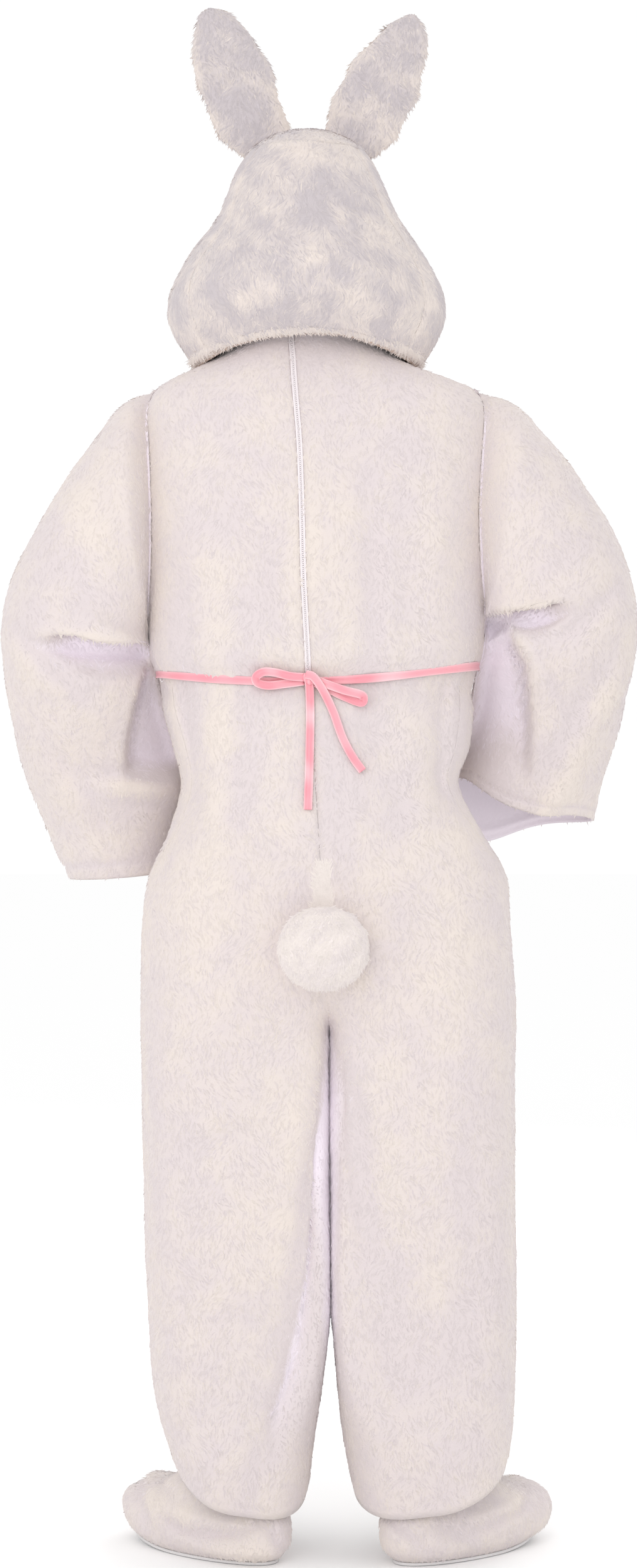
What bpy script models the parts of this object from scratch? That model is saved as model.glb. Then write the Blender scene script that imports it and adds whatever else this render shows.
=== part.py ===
"""Rabbit mascot costume: a plush suit with foot covers, a mascot head, a pompom tail and a ribbon.

The suit keeps the hollow form it has on a standing wearer with hands on hips.  Heights in the tables are
above the floor.  The origin is at the neck, where the wearer's shoulders carry the suit and its head.
+X is the wearer's left, +Y the wearer's back, +Z up.
"""
import math

import bmesh
import bpy
from mathutils import Vector

NECK_HEIGHT = 1.500        # the origin, above the floor
PLUSH = 0.003              # plush cloth: knitted backing with its pile
SEAM = 0.0004              # each panel stops this far short of a seam
LAY = 0.0008               # what lies on a panel is this far off it
ACROSS = {"suit_back": 9, "suit_front": 11}   # points across one body panel
AROUND = 18                # points around a sleeve

# Body panels, by height: the centre-back seam, the left and right sides, the back and the front.
BODY = [
    # height  seam    left   right    back   front  side seam, degrees to the back
    (1.530, 0.034, 0.084, -0.048, 0.060, -0.082, 0),
    (1.505, 0.034, 0.088, -0.054, 0.0606, -0.085, 0),
    (1.480, 0.033, 0.104, -0.075, 0.066, -0.090, 0),
    (1.456, 0.031, 0.136, -0.108, 0.079, -0.098, 0),
    (1.440, 0.030, 0.170, -0.150, 0.086, -0.106, 0),
    (1.425, 0.029, 0.196, -0.188, 0.091, -0.111, 0),
    (1.400, 0.027, 0.212, -0.207, 0.098, -0.116, 0),
    (1.350, 0.023, 0.217, -0.212, 0.106, -0.124, 0),
    (1.270, 0.020, 0.216, -0.210, 0.113, -0.132, 0),
    (1.190, 0.018, 0.213, -0.208, 0.114, -0.136, 0),
    (1.130, 0.015, 0.210, -0.205, 0.118, -0.138, 6),
    (1.092, 0.013, 0.206, -0.199, 0.121, -0.140, 16),
    (1.062, 0.012, 0.193, -0.187, 0.106, -0.124, 24),
    (1.030, 0.010, 0.191, -0.190, 0.114, -0.128, 27),
    (0.985, 0.008, 0.178, -0.185, 0.119, -0.126, 28),
    (0.940, 0.004, 0.168, -0.172, 0.125, -0.122, 26),
    (0.885, 0.000, 0.182, -0.200, 0.131, -0.122, 20),
    (0.825, -0.003, 0.209, -0.230, 0.135, -0.122, 10),
    (0.765, -0.006, 0.217, -0.236, 0.134, -0.120, 3),
    (0.725, -0.007, 0.218, -0.239, 0.131, -0.118, 1),
    (0.695, -0.010, 0.218, -0.241, 0.128, -0.116, 0),
    (0.666, -0.012, 0.218, -0.242, 0.124, -0.114, 0),
    (0.640, -0.013, 0.218, -0.242, 0.121, -0.112, 0),
    (0.560, -0.013, 0.217, -0.241, 0.117, -0.108, 0),
    (0.420, -0.014, 0.214, -0.242, 0.113, -0.104, 0),
    (0.300, -0.015, 0.210, -0.243, 0.112, -0.102, 0),
    (0.210, -0.014, 0.204, -0.242, 0.113, -0.104, 0),
    (0.130, -0.012, 0.193, -0.239, 0.112, -0.108, 0),
    (0.048, -0.012, 0.176, -0.231, 0.106, -0.106, 0),
]
RISE = (0.790, 0.640)      # between these heights the body parts into two legs
LEG_PARTING = [(0.640, 0.0005, 0.0005), (0.300, 0.0010, 0.0010), (0.210, 0.009, 0.009),
               (0.130, 0.017, 0.018), (0.048, 0.024, 0.030)]   # height, left and right gap from the seam

# The leg hems rise over the instep: how much at the outer side, the back, the inner side and the front.
HEM_RISE = {"mean": 0.048, "outer": 0.020, "front": 0.040, "from": 0.300}

# Soft folds of the body, on the outside of the leg and torso panels.
FOLDS = [
    # panel        side    height  across  length  width   depth
    ("suit_back", "left", 0.33, 0.30, 0.260, 0.035, 0.008),
    ("suit_back", "left", 0.16, 0.48, 0.150, 0.040, -0.009),
    ("suit_back", "right", 0.40, 0.28, 0.230, 0.030, 0.007),
    ("suit_back", "right", 0.20, 0.55, 0.170, 0.040, -0.007),
    ("suit_back", "left", 1.02, 0.62, 0.110, 0.020, -0.005),
    ("suit_back", "right", 1.00, 0.62, 0.120, 0.020, -0.005),
    ("suit_back", "left", 1.28, 0.45, 0.140, 0.040, 0.004),
    ("suit_back", "right", 1.27, 0.50, 0.150, 0.035, -0.004),
    ("suit_front", "left", 0.30, 0.40, 0.240, 0.035, 0.008),
    ("suit_front", "right", 0.26, 0.42, 0.240, 0.035, -0.008),
    ("suit_front", "left", 1.00, 0.50, 0.120, 0.025, -0.006),
    ("suit_front", "right", 1.01, 0.50, 0.120, 0.025, -0.006),
]

PANEL_WIDTH = 0.175        # a panel is about this wide where the folds lie
SQUARE = 2.6               # sections of the body are this square: 2 is an ellipse
SLEEVE_ROWS = 28
SLEEVE_GAP = 0.0007        # the sleeve starts this far outside the armhole's edge
ARMHOLE = {"height": 1.274, "half_height": 0.146, "half_depth": 0.076}

# Sleeves, from the armhole to the hem: outer and inner outline seen from behind, place and half-depth
# along Y, and how much higher the back of the ring is than its front.
SLEEVES = {
    "left": [
        # outer x,z     inner x,z       y       depth   tilt
        (0.252, 1.391, 0.214, 1.122, 0.002, 0.098, 0.0),
        (0.302, 1.325, 0.214, 1.114, 0.006, 0.098, 0.0),
        (0.345, 1.255, 0.213, 1.108, 0.010, 0.094, 0.0),
        (0.375, 1.190, 0.212, 1.102, 0.012, 0.091, 0.0),
        (0.390, 1.128, 0.209, 1.094, 0.010, 0.088, 0.0),
        (0.386, 1.070, 0.203, 1.081, -0.004, 0.086, 0.0),
        (0.378, 1.016, 0.193, 1.052, -0.028, 0.084, 0.0),
        (0.369, 0.968, 0.179, 1.004, -0.054, 0.080, 0.0),
        (0.355, 0.918, 0.166, 0.948, -0.080, 0.077, 0.0),
        (0.336, 0.868, 0.164, 0.890, -0.100, 0.074, 0.0),
        (0.316, 0.820, 0.172, 0.832, -0.112, 0.072, 0.0),
    ],
    "right": [
        (-0.260, 1.389, -0.210, 1.127, 0.002, 0.098, 0.0),
        (-0.312, 1.326, -0.210, 1.121, 0.006, 0.098, 0.0),
        (-0.352, 1.266, -0.209, 1.115, 0.010, 0.094, 0.0),
        (-0.378, 1.208, -0.208, 1.110, 0.012, 0.091, 0.0),
        (-0.391, 1.150, -0.205, 1.102, 0.010, 0.088, 0.0),
        (-0.387, 1.094, -0.199, 1.089, 0.000, 0.086, 0.0),
        (-0.380, 1.048, -0.191, 1.065, -0.018, 0.085, 0.0),
        (-0.372, 1.006, -0.187, 1.034, -0.038, 0.083, 0.004),
        (-0.362, 0.966, -0.184, 0.998, -0.058, 0.081, 0.008),
        (-0.352, 0.928, -0.182, 0.962, -0.074, 0.079, 0.012),
        (-0.345, 0.894, -0.184, 0.930, -0.086, 0.078, 0.016),
    ],
}
# Folds of each sleeve: along, around, half along, half around, depth.
SLEEVE_FOLDS = {
    "left": [
        (0.375, 118, 0.045, 50, 0.008),
        (0.840, 130, 0.035, 45, 0.008),
        (0.50, -110, 0.050, 50, -0.012),
        (0.72, -70, 0.090, 25, 0.006),
    ],
    "right": [
        (0.375, 118, 0.045, 50, 0.008),
        (0.800, 80, 0.120, 20, 0.007),
        (0.50, -110, 0.050, 50, -0.012),
        (0.72, -70, 0.090, 25, 0.006),
    ],
}
# The overhang of the upper sleeve at the elbow: its lower edge, the depth tucked in and how far down.
SLEEVE_LIPS = {
    "left": (
        [(0.222, 1.112), (0.270, 1.114), (0.290, 1.119), (0.322, 1.123), (0.338, 1.119)],
        0.042, 0.034,
    ),
    "right": (
        [(-0.310, 1.152), (-0.302, 1.158), (-0.289, 1.161), (-0.265, 1.153), (-0.217, 1.147)],
        0.038, 0.026,
    ),
}
# The hollow between forearm and body: height and across of its edge, depth, top and bottom.
SLEEVE_HOLLOWS = {
    "left": (
        [(0.940, 0.246), (0.989, 0.243), (1.037, 0.233), (1.0825, 0.221), (1.100, 0.216)],
        0.048, (1.105, 1.080), (0.985, 0.940),
    ),
    "right": (
        [(0.930, -0.268), (1.024, -0.266), (1.059, -0.263), (1.109, -0.246), (1.140, -0.238)],
        0.050, (1.150, 1.125), (1.050, 0.925),
    ),
}
TUCK_EDGE = 0.016          # the cloth goes in over this width
# How the hem leaves its ring: around, half around, rise. The right hem gapes by the body.
SLEEVE_HEMS = {
    "left": [(90, 60, -0.003)],
    "right": [(150, 32, 0.026), (232, 44, -0.042), (88, 40, -0.010)],
}
HEM_REACH = 2.5            # the hem's shape fades out over this many rows
BODY_CLEAR = 0.0012        # a sleeve rests this far off the side of the body

# Mascot head: half-width, back and front by height, from the rim to the crown.
HEAD_X = 0.014
HEAD = [
    # height  half   back    front
    (1.4543, 0.142, 0.108, -0.125),
    (1.472, 0.154, 0.124, -0.142),
    (1.490, 0.164, 0.136, -0.158),
    (1.515, 0.171, 0.148, -0.176),
    (1.545, 0.168, 0.150, -0.184),
    (1.572, 0.155, 0.144, -0.184),
    (1.600, 0.136, 0.134, -0.176),
    (1.630, 0.114, 0.122, -0.160),
    (1.662, 0.099, 0.110, -0.140),
    (1.692, 0.086, 0.096, -0.118),
    (1.714, 0.073, 0.080, -0.098),
]
HEAD_WALL = 0.008          # plush over thin foam
HEAD_RIM_LIFT = 0.029      # the rim rises this much at the centre back
HEAD_RIM_TOP = 1.560       # and the rise fades out at this height
HEAD_GORES = {"head_back": (32, 148), "head_cheek_right": (148, 240),
              "head_face": (240, 300), "head_cheek_left": (300, 392)}
CROWN_HEIGHT = 0.027       # the crown piece domes this much above the last ring

# Ears, by height: centre and half-width of each.
EARS = {
    "left": [
        (1.734, 0.062, 0.030), (1.752, 0.080, 0.043), (1.776, 0.092, 0.048), (1.802, 0.100, 0.049),
        (1.828, 0.107, 0.047), (1.852, 0.115, 0.040), (1.874, 0.122, 0.031), (1.892, 0.129, 0.019),
    ],
    "right": [
        (1.734, -0.036, 0.031), (1.752, -0.054, 0.046), (1.776, -0.065, 0.050), (1.802, -0.075, 0.050),
        (1.828, -0.085, 0.046), (1.852, -0.096, 0.038), (1.872, -0.106, 0.026), (1.885, -0.113, 0.013),
    ],
}
EAR_Y = -0.030
EAR_THICK = 0.022
EAR_TIP = 0.55             # the last ring closes to this share of its width
EAR_TIP_RISE = 0.008

# Foot covers: rings by height along the foot.
FOOT = [
    # height  half length  half width  shift towards the heel
    (0.0036, 0.120, 0.056, 0.000),
    (0.016, 0.136, 0.067, 0.000),
    (0.036, 0.139, 0.070, 0.000),
    (0.056, 0.126, 0.066, 0.010),
    (0.074, 0.098, 0.059, 0.028),
    (0.090, 0.074, 0.054, 0.042),
    (0.106, 0.062, 0.050, 0.050),
]
FEET = {"left": (0.1360, -0.0155, 42), "right": (-0.1775, -0.0118, -42)}  # centre x, y and outward turn
TOE_SPREAD = 0.14          # the toes are this much wider than the middle
SOLE = 0.0033

WAIST = 1.063              # ribbon height at the centre back
RIBBON = 0.010             # ribbon width
SATIN = 0.0008
RIBBON_BOW = 0.45          # how fast the ribbon rises towards the sides
RIBBON_SLOPE = 0.030       # and how much it slopes from side to side
BELT_LAY = 0.0024          # the belt stands on the pile of the cloth
TAIL = {"height": 0.748, "half_width": 0.056, "half_height": 0.050, "half_depth": 0.048, "pressed": 0.016}
TAIL_LAY = 0.0010
ZIP_HALF = 0.0040
ZIP_TOP = 1.528
TAPE_IN, TAPE_OUT = 0.0020, 0.0004   # depth of the zip's halves, in and out of the back's surface
ZIP_END = 1.061
ZIP_STOP = 0.008           # the opening for the zip closes within this length
ROW_GAP = (0.095, 0.200)   # panel rows this far apart have one more between them
SLIDER_HEIGHT = 1.5135
TAB_LENGTH = 0.024

COLOURS = {
    "plush": ((0.86, 0.83, 0.83), 0.95, 0.0),
    "satin": ((0.93, 0.52, 0.58), 0.45, 0.0),
    "zip": ((0.90, 0.88, 0.87), 0.50, 0.0),
    "metal": ((0.75, 0.75, 0.76), 0.35, 1.0),
    "felt": ((0.78, 0.76, 0.76), 0.95, 0.0),
    "eye": ((0.03, 0.03, 0.03), 0.20, 0.0),
    "nose": ((0.85, 0.52, 0.56), 0.80, 0.0),
}

for old in list(bpy.data.objects):
    bpy.data.objects.remove(old)
costume = bpy.data.collections.new("rabbit_mascot_costume")
bpy.context.scene.collection.children.link(costume)
wearer_floor = bpy.data.objects.new("wearer_floor", None)
wearer_floor.location.z = -NECK_HEIGHT
costume.objects.link(wearer_floor)


def smooth(t):
    """Ease from 0 to 1."""
    t = min(max(t, 0.0), 1.0)
    return t * t * (3.0 - 2.0 * t)


def read_table(table, height):
    """Every column of a table at a height, following a smooth curve through its rows."""
    rows = sorted(table)
    if height <= rows[0][0]:
        return rows[0][1:]
    if height >= rows[-1][0]:
        return rows[-1][1:]
    k = next(i for i in range(len(rows) - 1) if rows[i + 1][0] >= height)
    low, high = rows[k], rows[k + 1]
    before, after = rows[max(k - 1, 0)], rows[min(k + 2, len(rows) - 1)]
    span = high[0] - low[0]
    t = (height - low[0]) / span
    values = []
    for c in range(1, len(low)):
        slope_low = (high[c] - before[c]) / (high[0] - before[0]) * span
        slope_high = (after[c] - low[c]) / (after[0] - low[0]) * span
        values.append((2 * t**3 - 3 * t**2 + 1) * low[c] + (t**3 - 2 * t**2 + t) * slope_low
                      + (3 * t**2 - 2 * t**3) * high[c] + (t**3 - t**2) * slope_high)
    return values


def finish(obj, colour):
    """Give a piece its own material, and hang it from the wearer's floor point."""
    base, rough, metal = COLOURS[colour]
    material = bpy.data.materials.new(obj.name + "_" + colour)
    material.use_nodes = True
    shader = material.node_tree.nodes["Principled BSDF"]
    shader.inputs["Base Color"].default_value = (*base, 1.0)
    shader.inputs["Roughness"].default_value = rough
    shader.inputs["Metallic"].default_value = metal
    obj.data.materials.append(material)
    if colour != "felt":
        obj.data.shade_smooth()
    obj.parent = wearer_floor
    for collection in list(obj.users_collection):
        collection.objects.unlink(obj)
    costume.objects.link(obj)
    return obj


def loft(name, rows, inside, wall, colour, round_tube=False):
    """A cloth wall through rows of points on its outside; inside is a point that it faces away from."""
    mesh = bpy.data.meshes.new(name)
    shape = bmesh.new()
    grid = [[shape.verts.new(point) for point in row] for row in rows]
    count = len(rows[0])
    steps = count if round_tube else count - 1
    for upper, lower in zip(grid, grid[1:]):
        for c in range(steps):
            after = (c + 1) % count
            shape.faces.new((upper[c], upper[after], lower[after], lower[c]))
    shape.normal_update()
    facing = sum((face.calc_center_median() - Vector(inside)).dot(face.normal) * face.calc_area()
                 for face in shape.faces)
    if facing < 0:
        bmesh.ops.reverse_faces(shape, faces=shape.faces)
    shape.to_mesh(mesh)
    shape.free()
    obj = bpy.data.objects.new(name, mesh)
    bpy.context.scene.collection.objects.link(obj)
    solidify = obj.modifiers.new("cloth", "SOLIDIFY")
    solidify.thickness = wall
    solidify.offset = -1.0
    return finish(obj, colour)


def panel_loft(name, outer, inner, colour):
    """A cloth panel between two faces: rows of points on its outside, and the same on its inside."""
    mesh = bpy.data.meshes.new(name)
    shape = bmesh.new()
    faces = [[[shape.verts.new(point) for point in row] for row in rows] for rows in (outer, inner)]
    for grid in faces:
        for upper, lower in zip(grid, grid[1:]):
            for c in range(len(upper) - 1):
                corners = (upper[c], upper[c + 1], lower[c + 1], lower[c])
                shape.faces.new(corners if grid is faces[0] else corners[::-1])
    edges = []
    for grid in faces:
        right = [row[-1] for row in grid]
        left = [row[0] for row in grid]
        edges.append(grid[0] + right[1:] + grid[-1][::-1][1:] + left[::-1][1:-1])
    for k in range(len(edges[0])):
        before = k - 1
        shape.faces.new((edges[0][k], edges[0][before], edges[1][before], edges[1][k]))
    if shape.calc_volume(signed=True) < 0:
        bmesh.ops.reverse_faces(shape, faces=shape.faces)
    shape.to_mesh(mesh)
    shape.free()
    obj = bpy.data.objects.new(name, mesh)
    bpy.context.scene.collection.objects.link(obj)
    return finish(obj, colour)


def trim_ends(row, first=SEAM, last=SEAM):
    """Stop a row of points short of the seams at its two ends."""
    start = row[0] + (row[1] - row[0]).normalized() * first
    end = row[-1] + (row[-2] - row[-1]).normalized() * last
    return [start] + row[1:-1] + [end]


# ---- the suit's body ----

def leg_gap(side, height):
    """Distance from the centre seam to a leg's inner side, and to a panel's edge above the crotch."""
    column = 1 if side == "left" else 2
    for high, low in zip(LEG_PARTING, LEG_PARTING[1:]):
        if height > low[0]:
            share = min(1.0, (high[0] - height) / (high[0] - low[0])) if height < high[0] else 0.0
            return high[column] + (low[column] - high[column]) * share
    return LEG_PARTING[-1][column]


def body_section(side, height):
    """One side of the body at a height: centre, signed half-width, back, front, inner edge, side turn."""
    seam, left, right, back, front, turn = read_table(BODY, height)
    outer = left if side == "left" else right
    sign = 1.0 if side == "left" else -1.0
    parted = smooth((RISE[0] - height) / (RISE[0] - RISE[1]))
    inner = seam + sign * leg_gap(side, height)
    centre = seam + (0.5 * (outer + inner) - seam) * parted
    return centre, outer - centre, back, front, inner, turn


def fold_depth(panel, side, height, across):
    """How far the folds lift or sink a panel here."""
    total = 0.0
    for fold_panel, fold_side, z, u, length, width, depth in FOLDS:
        if fold_panel == panel and fold_side == side:
            away = ((height - z) / length) ** 2 + ((across - u) * PANEL_WIDTH / width) ** 2
            total += depth * math.exp(-2.0 * away)
    return total * min(1.0, 8.0 * across * (1.0 - across))


def body_point(side, height, turn, lift=0.0):
    """A point on the outside of the body: turn is 0 at the side, 90 at the back, -90 at the front."""
    centre, half, back, front, _, _ = body_section(side, height)
    angle = math.radians(turn)
    depth = (back if turn >= 0 else -front) + lift
    wide = half + lift * math.copysign(1.0, half)
    x, y = (math.copysign(abs(part) ** (2.0 / SQUARE), part) for part in (math.cos(angle), math.sin(angle)))
    return Vector((centre + wide * x, depth * y, height))


def centre_turn(side, height):
    """The turn, past 90 degrees in the legs, at which a section meets the centre seam or the inseam."""
    centre, half, _, _, inner, _ = body_section(side, height)
    share = max(-1.0, min(1.0, (inner - centre) / half))
    return math.degrees(math.acos(math.copysign(abs(share) ** (SQUARE / 2.0), share)))


def armhole_turn(side, height, depth):
    """The turn at which the armhole cuts a section, or None outside the armhole."""
    high = (height - ARMHOLE["height"]) / ARMHOLE["half_height"]
    if abs(high) >= 1.0:
        return None
    reach = ARMHOLE["half_depth"] * math.sqrt(1.0 - high * high)
    return math.degrees(math.asin(min(0.95, reach / depth) ** (SQUARE / 2.0)))


def panel_turn(panel, side, height, across):
    """The turn of a point across a panel, from its side edge (0) to the centre (1)."""
    _, _, back, front, _, side_turn = body_section(side, height)
    backwards = panel == "suit_back"
    cut = armhole_turn(side, height, back if backwards else -front)
    start = side_turn if backwards else -side_turn
    start = start if cut is None else max(cut, start)
    turn = start + (centre_turn(side, height) - start) * across
    return turn if backwards else -turn


def panel_point(panel, side, height, across, lift=0.0):
    """A point on a panel's outside, on one of its rows, lifted off it or sunk into it."""
    turn = panel_turn(panel, side, height, across)
    point = body_point(side, height, turn, fold_depth(panel, side, height, across) + lift)
    low = max(0.0, (HEM_RISE["from"] - height) / (HEM_RISE["from"] - BODY[-1][0]))
    angle = math.radians(turn)
    rise = HEM_RISE["mean"] + HEM_RISE["outer"] * math.cos(angle) - HEM_RISE["front"] * math.sin(angle)
    point.z += rise * low * low
    return point


def around_angles():
    """Angles of the points around a sleeve, from its outer side to the back; none is at the very top."""
    return [2.0 * math.pi * (a + 0.5) / AROUND for a in range(AROUND)]


def body_heights():
    """Heights of the panels' rows: the table's own, one more in the long gaps, and the armhole's."""
    heights = [row[0] for row in BODY if abs(row[0] - ARMHOLE["height"]) > ARMHOLE["half_height"]]
    extra = [0.5 * (a + b) for a, b in zip(heights, heights[1:]) if ROW_GAP[1] > a - b > ROW_GAP[0]]
    armhole = [ARMHOLE["height"] + ARMHOLE["half_height"] * math.cos(angle)
               for angle in around_angles() if angle < math.pi]
    return sorted(heights + extra + armhole + [ZIP_END - ZIP_STOP], reverse=True)


ROWS = body_heights()


def on_panel(panel, side, height, across, lift):
    """A point that lies on the cloth between two of the panel's rows, lifted off it."""
    k = next((i for i in range(len(ROWS) - 1) if ROWS[i + 1] <= height), len(ROWS) - 2)
    share = (ROWS[k] - height) / (ROWS[k] - ROWS[k + 1])
    above = panel_point(panel, side, ROWS[k], across, lift)
    below = panel_point(panel, side, ROWS[k + 1], across, lift)
    return above.lerp(below, share)


def suit_panel(panel, side):
    """A front or back panel, from the collar to the leg hem, one half of the body."""
    count = ACROSS[panel]
    faces = []
    for lift in (0.0, -PLUSH):
        rows = []
        for height in ROWS:
            row = [panel_point(panel, side, height, c / (count - 1), lift) for c in range(count)]
            zipped = panel == "suit_back" and height > ZIP_END
            legs = height < RISE[1] + SEAM
            rows.append(trim_ends(row, last=ZIP_HALF if zipped else SEAM if legs else 0.0))
        faces.append(rows)
    return panel_loft(f"{panel}_{side}", *faces, "plush")


for side in ("left", "right"):
    for panel in ("suit_back", "suit_front"):
        suit_panel(panel, side)


# ---- sleeves ----

def clear_of_body(side, point):
    """Move a point of a sleeve out to the side of the body where it would lie inside it."""
    sign = 1.0 if side == "left" else -1.0
    centre, half, rear, front, _, _ = body_section(side, point.z)
    reach = abs(point.y) / ((rear if point.y > 0 else -front) + BODY_CLEAR)
    if reach >= 1.0:
        return point
    edge = centre + (half + sign * BODY_CLEAR) * (1.0 - reach ** SQUARE) ** (1.0 / SQUARE)
    return Vector((max(sign * point.x, sign * edge) * sign, point.y, point.z))


def along_line(line, value):
    """The second number of a line of pairs where its first is this value."""
    line = sorted(line)
    for (low, first), (high, second) in zip(line, line[1:]):
        if value <= high:
            share = min(max((value - low) / (high - low), 0.0), 1.0)
            return first + (second - first) * share
    return line[-1][1]


def tuck_depth(side, point, back):
    """How far the back of a sleeve is sunk under its overhang and in the hollow beside the body."""
    sign = 1.0 if side == "left" else -1.0
    line, depth, fall = SLEEVE_LIPS[side]
    below = along_line(line, point.x) - point.z
    far = max((x for x, _ in line), key=abs)
    lip = depth * smooth(below / TUCK_EDGE) * smooth(sign * (far - point.x) / 0.050)
    lip *= math.exp(-(max(below - TUCK_EDGE, 0.0) / fall) ** 2)
    line, depth, top, bottom = SLEEVE_HOLLOWS[side]
    beside = sign * (along_line(line, point.z) - point.x)
    hollow = depth * smooth(beside / TUCK_EDGE) * smooth((top[0] - point.z) / (top[0] - top[1]))
    hollow *= smooth((point.z - bottom[1]) / (bottom[0] - bottom[1]))
    return max(lip, hollow) * smooth(1.6 * back)


def sleeve_rings(side, count):
    """Rings of a sleeve from the armhole to the hem, each a list of points from its outer side."""
    sign = 1.0 if side == "left" else -1.0
    table = [(k + 1.0, *row) for k, row in enumerate(SLEEVES[side])]
    rings = []
    for k in range(count):
        along = k / (count - 1) * len(table)
        ring = []
        for around in around_angles():
            up, back = math.cos(around), math.sin(around)
            height = ARMHOLE["height"] + ARMHOLE["half_height"] * up
            depth = ARMHOLE["half_depth"] * back
            centre, half, rear, front, _, _ = body_section(side, height)
            reach = depth / (rear if depth > 0 else -front)
            wide = half * (1.0 - abs(reach) ** SQUARE) ** (1.0 / SQUARE)
            seam = Vector((centre + wide + sign * SLEEVE_GAP, depth, height))
            outer_x, outer_z, inner_x, inner_z, y, half_depth, tilt = read_table(table, max(along, 1.0))
            middle = Vector((0.5 * (outer_x + inner_x), y, 0.5 * (outer_z + inner_z)))
            across = Vector((0.5 * (outer_x - inner_x), 0.0, 0.5 * (outer_z - inner_z)))
            radial = across * up + Vector((0.0, half_depth * back, 0.0))
            point = middle + radial + Vector((0.0, 0.0, 0.5 * tilt * back))
            lift = 0.0
            for fold_along, fold_around, long, wide, deep in SLEEVE_FOLDS[side]:
                off = (math.degrees(around) - fold_around + 180.0) % 360.0 - 180.0
                away = ((along / len(table) - fold_along) / long) ** 2 + (off / wide) ** 2
                lift += deep * math.exp(-away)
            point += radial.normalized() * lift
            for hem_around, wide, rise in SLEEVE_HEMS[side]:
                off = (math.degrees(around) - hem_around + 180.0) % 360.0 - 180.0
                near_hem = smooth(max(0.0, 1.0 - (len(table) - along) / HEM_REACH))
                point.z += rise * near_hem * math.exp(-((off / wide) ** 2))
            point.y -= tuck_depth(side, point, back)
            point = clear_of_body(side, point)
            if along < 1.0:
                point = seam.lerp(point, along)
            ring.append(point)
        rings.append(ring)
    return rings


for side in ("left", "right"):
    rings = sleeve_rings(side, SLEEVE_ROWS)
    middle = sum((sum(ring, Vector()) / AROUND for ring in rings), Vector()) / len(rings)
    loft(f"sleeve_{side}", rings, middle, PLUSH, "plush", round_tube=True)


# ---- foot covers ----

def ring_solid(name, rings, colour, joined=False):
    """A closed solid through rings of points, with flat ends, or joined end to end."""
    mesh = bpy.data.meshes.new(name)
    shape = bmesh.new()
    loops = [[shape.verts.new(point) for point in ring] for ring in rings]
    pairs = list(zip(loops, loops[1:]))
    if joined:
        pairs.append((loops[-1], loops[0]))
    else:
        shape.faces.new(loops[0])
        shape.faces.new(loops[-1][::-1])
    for near, far in pairs:
        for k in range(len(near)):
            shape.faces.new((near[k - 1], near[k], far[k], far[k - 1])[::-1])
    if shape.calc_volume(signed=True) < 0:
        bmesh.ops.reverse_faces(shape, faces=shape.faces)
    shape.to_mesh(mesh)
    shape.free()
    obj = bpy.data.objects.new(name, mesh)
    bpy.context.scene.collection.objects.link(obj)
    return finish(obj, colour)


def foot_ring(side, height, half_length, half_width, shift, count=20):
    """An egg-shaped ring of a foot cover, wider at the toes."""
    x, y, turn = FEET[side]
    toe = Vector((math.sin(math.radians(turn)), -math.cos(math.radians(turn)), 0.0))
    across = Vector((-toe.y, toe.x, 0.0))
    middle = Vector((x, y, height)) - toe * shift
    ring = []
    for k in range(count):
        angle = 2.0 * math.pi * k / count
        wide = half_width * (1.0 + TOE_SPREAD * math.cos(angle))
        ring.append(middle + toe * half_length * math.cos(angle) + across * wide * math.sin(angle))
    return ring


for side in ("left", "right"):
    rings = [foot_ring(side, *row) for row in FOOT]
    middle = sum((sum(ring, Vector()) / len(ring) for ring in rings), Vector()) / len(rings)
    loft(f"foot_cover_{side}", rings, middle, PLUSH, "plush", round_tube=True)
    _, sole_length, sole_width, _ = FOOT[0]
    edge = [foot_ring(side, z, sole_length, sole_width, 0.0) for z in (0.0, SOLE - 0.0003)]
    ring_solid(f"foot_sole_{side}", edge, "felt")


# ---- mascot head ----

def head_point(height, turn, lift=0.0):
    """A point on the outside of the head; turn is 0 at the wearer's left and 90 degrees at the back."""
    half, back, front = read_table(HEAD, height)
    angle = math.radians(turn)
    depth = back if math.sin(angle) >= 0 else -front
    low = max(0.0, (HEAD_RIM_TOP - height) / (HEAD_RIM_TOP - HEAD[0][0]))
    rise = HEAD_RIM_LIFT * max(0.0, math.sin(angle)) ** 2 * low
    x = HEAD_X + (half + lift) * math.cos(angle)
    return Vector((x, (depth + lift) * math.sin(angle), height + rise))


def head_gore(name, start, end):
    """One gore of the head, from the rim to the crown piece."""
    count = max(6, round((end - start) / 11.0))
    heights = [row[0] for row in HEAD]
    faces = []
    for lift in (0.0, -HEAD_WALL):
        rows = []
        for height in heights:
            row = [head_point(height, start + (end - start) * c / count, lift) for c in range(count + 1)]
            rows.append(trim_ends(row))
        faces.append(rows)
    return panel_loft(name, *faces, "plush")


for name, (start, end) in HEAD_GORES.items():
    head_gore(name, start, end)


def crown_height(x, y):
    """Height of the crown piece's outside above a point."""
    _, half, back, front = HEAD[-1]
    reach = ((x - HEAD_X) / half) ** 2 + (y / (back if y > 0 else front)) ** 2
    return HEAD[-1][0] + SEAM + CROWN_HEIGHT * (1.0 - min(1.0, reach) ** 1.2)


def crown_ring(share, lift, count=20):
    """A ring of the crown piece at a share of the way out to its seam."""
    _, half, back, front = HEAD[-1]
    ring = []
    for k in range(count):
        angle = 2.0 * math.pi * k / count
        depth = back if math.sin(angle) >= 0 else -front
        x = HEAD_X + (half * share + lift * share) * math.cos(angle)
        y = (depth * share + lift * share) * math.sin(angle)
        reach = crown_height(HEAD_X + half * share * math.cos(angle), depth * share * math.sin(angle))
        ring.append(Vector((x, y, reach + lift * (1.0 - share ** 4))))
    return ring


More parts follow.
